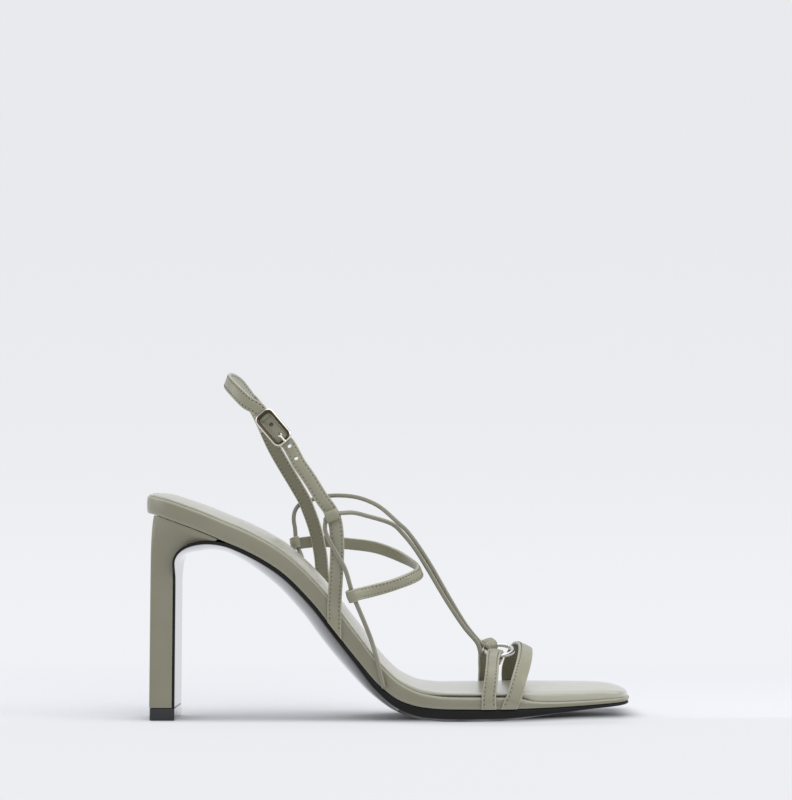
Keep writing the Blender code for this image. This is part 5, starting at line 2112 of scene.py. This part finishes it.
@dataclass
class CordAndInstep(StrapWork):
    """The doubled cord, its two keepers, and the instep strap folded round the cord's legs."""

    cord: float = 0.0020
    instep_width: float = 0.0056
    # At 0 the instep strap has no painted shade or painted light on its back.
    painted_light_above: float = 0.0
    keeper_length: float = 0.0060
    keeper_wall: float = 0.0008
    keeper_edge: float = 0.00025
    keeper_sides: int = 48
    inner_foot: float = 0.338
    outer_foot: float = 0.495
    forefoot: ForefootStraps | None = None

    def build(self) -> None:
        """Builds the cord, the keepers and the instep strap."""
        self.keep(self.make_cord(), "leather", "cord")
        self.keep(self.make_keeper("keeper_outer_loop", KEEPER_OUTER), "leather", "keeper_outer")
        self.keep(self.make_keeper("keeper_inner_loop", KEEPER_INNER), "leather", "keeper_inner")
        self.build_instep_strap()

    def keeper_frame(self, stop: Stop) -> tuple[Vector, Vector, Vector]:
        """A keeper's place and directions.

        Args:
            stop: its place on its strap.

        Returns:
            The middle of its cord, the cord's direction, and the direction off the strap.
        """
        along = Vector((-0.93, 0.0, -0.36)).normalized()
        place = self.form.place(stop)
        away = (place - self.ankle_core(place)).normalized()
        away = (away - along * away.dot(along)).normalized()
        clear = self.form.clearance
        gap = self.half + clear * 2 + self.keeper_wall + clear * 1.5 + self.cord / 2
        return place + away * gap, along, away

    def make_keeper(self, name: str, stop: Stop) -> Piece:
        """A small leather tunnel, flat against the strap and round over the cord.

        Args:
            name: the piece's name.
            stop: its place on its strap.

        Returns:
            The keeper.
        """
        centre, along, away = self.keeper_frame(stop)
        wide = along.cross(away).normalized()
        away = wide.cross(along).normalized()
        inner = self.cord / 2 + self.form.clearance * 1.5
        outer = inner + self.keeper_wall
        count, soft = self.keeper_sides, self.keeper_edge
        rows = []
        for radius, end in (
            (inner, -0.5), (inner + soft, -0.5 - 0.01), (outer - soft, -0.5 - 0.01),
            (outer, -0.46), (outer, -0.2), (outer, 0.0), (outer, 0.2), (outer, 0.46),
            (outer - soft, 0.51), (inner + soft, 0.51), (inner, 0.5), (inner, 0.0),
        ):
            row = []
            for k in range(count):
                turn = 2 * math.pi * (k + 0.5) / count
                c, s = math.cos(turn), math.sin(turn)
                power = 3.0 if s > 0 else 7.0
                box = (abs(c) ** power + abs(s) ** power) ** (-1 / power)
                row.append(
                    centre + along * self.keeper_length * end
                    + (wide * c * 1.12 + away * s) * radius * box
                )
            rows.append(row)
        skin = Skin(name, Finish.UPPER)
        skin.loops(rows + [rows[0]])
        return skin.piece(60.0)

    def cord_foot(self, along: float, side: int) -> tuple[Vector, Vector]:
        """Two points where a cord leg lies against the wall and goes in under it.

        Args:
            along: the place along the sole.
            side: -1 for the outer side, 1 for the inner side.

        Returns:
            The upper and the lower point.
        """
        form = self.form
        x = form.x_at(along)
        y = side * (form.half_width(x, side) + form.clearance * 2 + self.cord / 2)
        top = Vector((x - 0.0030, y, form.wall_top(x - 0.0030) + 0.0010))
        return top, Vector((x, y, form.underside(x) + self.cord / 2))

    def leg(self, keeper: Stop, below: tuple[Stop, ...], foot: float, side: int) -> Line:
        """A cord leg from its keeper down to the wall.

        Args:
            keeper: the keeper's place.
            below: the cord's way below it.
            foot: where it goes in under the wall, along the sole.
            side: -1 for the outer side, 1 for the inner side.

        Returns:
            Its points.
        """
        centre, along, _ = self.keeper_frame(keeper)
        half = along * 0.0025
        stops = [self.form.place(s) for s in below]
        return [centre - half, centre + half] + stops + list(self.cord_foot(foot, side))

    def legs(self) -> tuple[Line, Line]:
        """The inner and the outer leg of the cord."""
        inner = self.leg(KEEPER_INNER, CORD_BELOW_INNER_KEEPER, self.inner_foot, 1)
        return inner, self.leg(KEEPER_OUTER, CORD_BELOW_OUTER_KEEPER, self.outer_foot, -1)

    def make_cord(self) -> Piece:
        """One cord: from the inner wall to the ring, round its wire, and back outside.

        Returns:
            The cord.
        """
        form, ring = self.form, self.forefoot
        rear = ring.ring_point(math.radians(182.0))
        radius = ring.ring_wire / 2 + form.clearance / 3 + self.cord / 2
        tilt = ring.ring_tilt
        up = Vector((-0.17, 0.0, 0.98))
        wire_way = Vector((0.0, math.cos(tilt), math.sin(tilt)))
        up = (up - wire_way * up.dot(wire_way)).normalized()
        loop = wrap(rear, up, wire_way, radius, math.radians(265.0), 12)
        aside = wire_way * (self.cord / 2 + form.clearance / 2)
        loop = [point + aside * (1 - i / 6) for i, point in enumerate(loop)]
        inner_end, outer_end = self.legs()
        inner = [form.place(s) for s in CORD_INNER]
        outer = [form.place(s) for s in CORD_OUTER]
        first = spline(inner_end[::-1] + inner[::-1] + [loop[0]], 3)
        second = spline([loop[-1]] + outer + outer_end, 3)
        points = spline(first[:-1] + loop + second[1:], 3)
        return tube("instep_cord", points, self.cord / 2, Finish.CORD, groove=0.00010)

    def build_instep_strap(self) -> None:
        """The strap round the front of the instep, its ends folded round the cord legs."""
        form = self.form
        radius = self.cord / 2 + form.clearance * 1.5 + self.half
        rows = [form.place(s) for s in INSTEP_STRAP]
        ends = []
        inner_leg, outer_leg = self.legs()
        tabs = ((TAB_INNER, inner_leg, rows[0]), (TAB_OUTER, outer_leg, rows[-1]))
        for stop, leg, neighbour in tabs:
            tab = form.place(stop)
            at = min(range(len(leg)), key=lambda k: (leg[k] - tab).length)
            axis = (leg[at + 1] - leg[at - 1]).normalized()
            toward = neighbour - tab
            toward = (toward - axis * toward.dot(axis)).normalized()
            side = Vector((0.0, 1.0 if tab.y > 0 else -1.0, 0.0))
            side = (side - axis * side.dot(axis) - toward * side.dot(toward)).normalized()
            fold = []
            for k in range(8):
                angle = math.radians(62.0 + 232.0 * k / 7)
                fold.append(tab + (toward * math.cos(angle) + side * math.sin(angle)) * radius)
            ends.append((fold, axis))
        (inner_fold, inner_axis), (outer_fold, outer_axis) = ends
        run = spline([inner_fold[0]] + rows + [outer_fold[0]], 3)
        points = inner_fold[:0:-1] + run + outer_fold[1:]
        core = form.place(INSTEP_MIDDLE)

        def inside(point: Vector) -> Vector:
            """What the strap faces away from: level at its sides, and low under its front."""
            drop = 0.027 * ease((point.x - form.x_at(0.520)) / 0.011)
            return Vector((core.x, 0.0, core.z + (point.z - core.z) * 0.9 - drop))

        ways = self.ways_round(points, inside)
        first, last = len(inner_fold) + 1, len(points) - len(outer_fold) - 1
        flip = 1.0 if ways[first + 2].dot(inner_axis) > 0 else -1.0
        for i in range(first):
            ways[i] = inner_axis * flip
        flip = 1.0 if ways[last - 3].dot(outer_axis) > 0 else -1.0
        for i in range(last, len(points)):
            ways[i] = outer_axis * flip
        for i in range(3):
            blend = (i + 1) / 4
            at = first + i
            ways[at] = (ways[at] * blend + ways[first - 1] * (1 - blend)).normalized()
            at = last - 1 - i
            ways[at] = (ways[at] * blend + ways[last] * (1 - blend)).normalized()
        route = Route(points, ways, [self.instep_width] * len(points)).refined(5)
        middle = len(route.points) // 2
        out = route.points[middle] - Vector((core.x, 0.0, core.z))
        facing = self.facing(route, middle, out)
        band = self.strap("instep_strap_band", route, facing)
        self.keep(band, "leather", "instep_strap")
        start, end = (len(inner_fold) + 1) * 5, (len(points) - len(outer_fold) - 1) * 5
        self.sew("instep_strap", self.pair_of_seams(route, facing, start, end))


@dataclass
class Studio:
    """The pale room, its soft lights, and the camera at the photograph's place."""

    image_width: int = 792
    focal_pixels: float = 1838.0
    camera_place: Triple = (0.10335, -0.855, 0.0804)
    tilt_pixels: float = 142.5
    turn_pixels: float = 6.0
    tone: Colour = (0.845, 0.852, 0.885)
    paper: Colour = (0.684, 0.690, 0.714)
    glow: tuple[tuple[float, Colour], ...] = (
        (0.0, (0.877, 0.885, 0.918)),
        (0.146, (0.847, 0.855, 0.885)),
        (0.30, (0.827, 0.835, 0.868)),
        (0.60, (0.815, 0.822, 0.855)),
    )
    room_half: float = 2.5
    bend_start: float = 1.2
    bend_radius: float = 0.8
    bend_steps: int = 16
    wall_top: float = 3.0
    floor_gap: float = 0.0002
    # Where the paper's glow in front of the shoe starts and ends, and how strong it is: painted
    # light that clears the shoe's cast shadow.
    painted_light_front: Triple = (-0.003, -0.029, 0.85)
    far_paper: tuple[float, float] = (0.04, 0.45)
    dimmed: Triple = (-0.05, 0.20, 0.955)
    # How far back the front painted light reaches under the raised toe, over this span of X.
    toe_span: tuple[float, float] = (0.150, 0.205)
    # Edges of a painted shadow on the paper beside the raised toe, and its depth.
    painted_toe_shadow_patch: tuple[tuple[str, float, float], ...] = (
        ("X", 0.150, 0.186), ("X", 0.226, 0.208), ("Y", -0.006, 0.024), ("Y", 0.070, 0.040),
    )
    painted_toe_shadow_depth: float = 0.24
    toe_shift: float = 0.018

    def build(self) -> None:
        """Builds the room, the lights and the camera."""
        self.make_room()
        self.make_world()
        self.make_light("top_light", (0.15, -0.06, 1.30), (2.6, 0.0, 0.0), 1.4, 9.0)
        self.make_light("front_light", (0.45, -1.4, 0.90), (57.0, 0.0, 14.0), 0.9, 5.0)
        self.make_light("toe_light", (1.05, -0.30, 0.62), (62.0, 0.0, 72.0), 0.7, 3.6)
        self.make_light("heel_light", (-0.90, 0.10, 0.45), (66.0, 0.0, -98.0), 0.6, 1.8)
        self.make_camera()
        bpy.context.scene.view_settings.view_transform = "Standard"

    def make_room(self) -> None:
        """A floor that curves up into a back wall."""
        low, half, bend = -self.floor_gap, self.room_half, self.bend_radius
        rows = []
        for x in (-half, half):
            row = [Vector((x, -half, low)), Vector((x, self.bend_start, low))]
            for k in range(1, self.bend_steps + 1):
                turn = math.radians(90 * k / self.bend_steps)
                rise = bend - bend * math.cos(turn)
                row.append(Vector((x, self.bend_start + bend * math.sin(turn), low + rise)))
            rows.append(row + [Vector((x, self.bend_start + bend, self.wall_top))])
        mesh = bpy.data.meshes.new("studio_floor")
        count = len(rows[0])
        faces = [(i, i + 1, count + i + 1, count + i) for i in range(count - 1)]
        mesh.from_pydata([tuple(p) for row in rows for p in row], [], [f[::-1] for f in faces])
        mesh.shade_smooth()
        mesh.materials.append(self.paper_material())
        room = bpy.data.objects.new("studio_floor", mesh)
        bpy.context.scene.collection.objects.link(room)

    def paper_material(self) -> bpy.types.Material:
        """Pale paper: behind the shoe it glows evenly as a backdrop, and in front of it the glow is
        painted light that clears the shoe's cast shadow.

        Returns:
            The material.
        """
        kit = NodeKit("studio_paper")
        kit.fix("Roughness", 0.75)
        kit.fix("Specular IOR Level", 0.1)
        parts = kit.add("ShaderNodeSeparateXYZ")
        kit.join(kit.place, parts, "Vector")
        ramp = kit.add("ShaderNodeValToRGB")
        ramp.color_ramp.elements[0].color = (*self.glow[0][1], 1.0)
        ramp.color_ramp.elements[1].color = (*self.glow[-1][1], 1.0)
        ramp.color_ramp.elements[1].position = self.glow[-1][0]
        for height, colour in self.glow[1:-1]:
            ramp.color_ramp.elements.new(height).color = (*colour, 1.0)
        kit.join(parts.outputs["Z"], ramp, "Fac")
        shine = kit.add("ShaderNodeEmission")
        kit.join(kit.step(parts.outputs["Y"], *self.dimmed), shine, "Strength")
        kit.join(ramp.outputs["Color"], shine, "Color")
        reach = kit.step(parts.outputs["Y"], *self.far_paper)
        toe = kit.step(parts.outputs["X"], *self.toe_span, 0.0, self.toe_shift)
        # Painted light in front of the shoe, reaching further back under the toe.
        start, end, most = self.painted_light_front
        near = kit.step(kit.reckon("SUBTRACT", parts.outputs["Y"], toe), start, end, 0.0, most)
        both = kit.add("ShaderNodeMixShader")
        kit.join(kit.reckon("MAXIMUM", reach, near), both, "Fac")
        kit.join(kit.shader.outputs["BSDF"], both, 1)
        kit.join(shine.outputs["Emission"], both, 2)
        kit.join(both.outputs["Shader"], kit.tree.nodes["Material Output"], "Surface")
        # Painted shadow beside the raised toe.
        kit.join(self.painted_toe_shadow(kit, parts), kit.shader, "Base Color")
        return kit.material

    def painted_toe_shadow(self, kit: NodeKit, parts: bpy.types.Node) -> Socket:
        """The paper's colour, with a painted shadow beside the raised toe, where less light comes
        in.

        Args:
            kit: the paper's nodes.
            parts: the node that gives the place on the floor.

        Returns:
            The colour.
        """
        share = None
        for axis, low, high in self.painted_toe_shadow_patch:
            edge = kit.step(parts.outputs[axis], low, high)
            share = edge if share is None else kit.reckon("MULTIPLY", share, edge)
        deep = tuple(part * self.painted_toe_shadow_depth for part in self.paper)
        return kit.mix(share, self.paper, deep)

    def make_world(self) -> None:
        """Even pale surroundings."""
        world = bpy.data.worlds.new("studio_air")
        world.use_nodes = True
        back = world.node_tree.nodes["Background"]
        back.inputs["Color"].default_value = (*self.tone, 1.0)
        back.inputs["Strength"].default_value = 0.75
        bpy.context.scene.world = world

    def make_light(
        self, name: str, place: Triple, turn: Triple,
        size: float, power: float,
    ) -> None:
        """A square soft light.

        Args:
            name: its name.
            place: where it is.
            turn: its rotation in degrees.
            size: its side.
            power: its power in watts.
        """
        lamp = bpy.data.lights.new(name, "AREA")
        lamp.size = size
        lamp.energy = power
        made = bpy.data.objects.new(name, lamp)
        made.location = place
        made.rotation_euler = [math.radians(angle) for angle in turn]
        bpy.context.scene.collection.objects.link(made)

    def make_camera(self) -> None:
        """The camera, level with the straps and square to the shoe's outer side."""
        camera = bpy.data.cameras.new("camera")
        camera.sensor_fit = "HORIZONTAL"
        camera.sensor_width = 36.0
        camera.lens = camera.sensor_width * self.focal_pixels / self.image_width
        camera.clip_start = 0.01
        made = bpy.data.objects.new("camera", camera)
        made.location = self.camera_place
        made.rotation_euler = (
            math.radians(90) + math.atan(self.tilt_pixels / self.focal_pixels),
            0.0,
            -math.atan(self.turn_pixels / self.focal_pixels),
        )
        bpy.context.scene.collection.objects.link(made)
        bpy.context.scene.camera = made


def main() -> None:
    """Builds the sandal and its studio, and reports each piece."""
    logging.basicConfig(level=logging.INFO, format="%(name)s: %(message)s")
    low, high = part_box("footbed")
    form = SoleForm(seat_rear=low[0], length=high[0] - low[0])
    forefoot = ForefootStraps(form)
    groups: list[SubAssembly] = [
        Footbed(form),
        HeelAndSole(form),
        forefoot,
        AnkleStraps(form),
        CordAndInstep(form, forefoot=forefoot),
    ]
    for group in groups:
        group.build()
        for piece in group.pieces:
            faces = len(piece.data.polygons)
            LOG.info("%s: %s, %d faces", type(group).__name__, piece.name, faces)
    Studio().build()


if __name__ == "__main__":
    main()
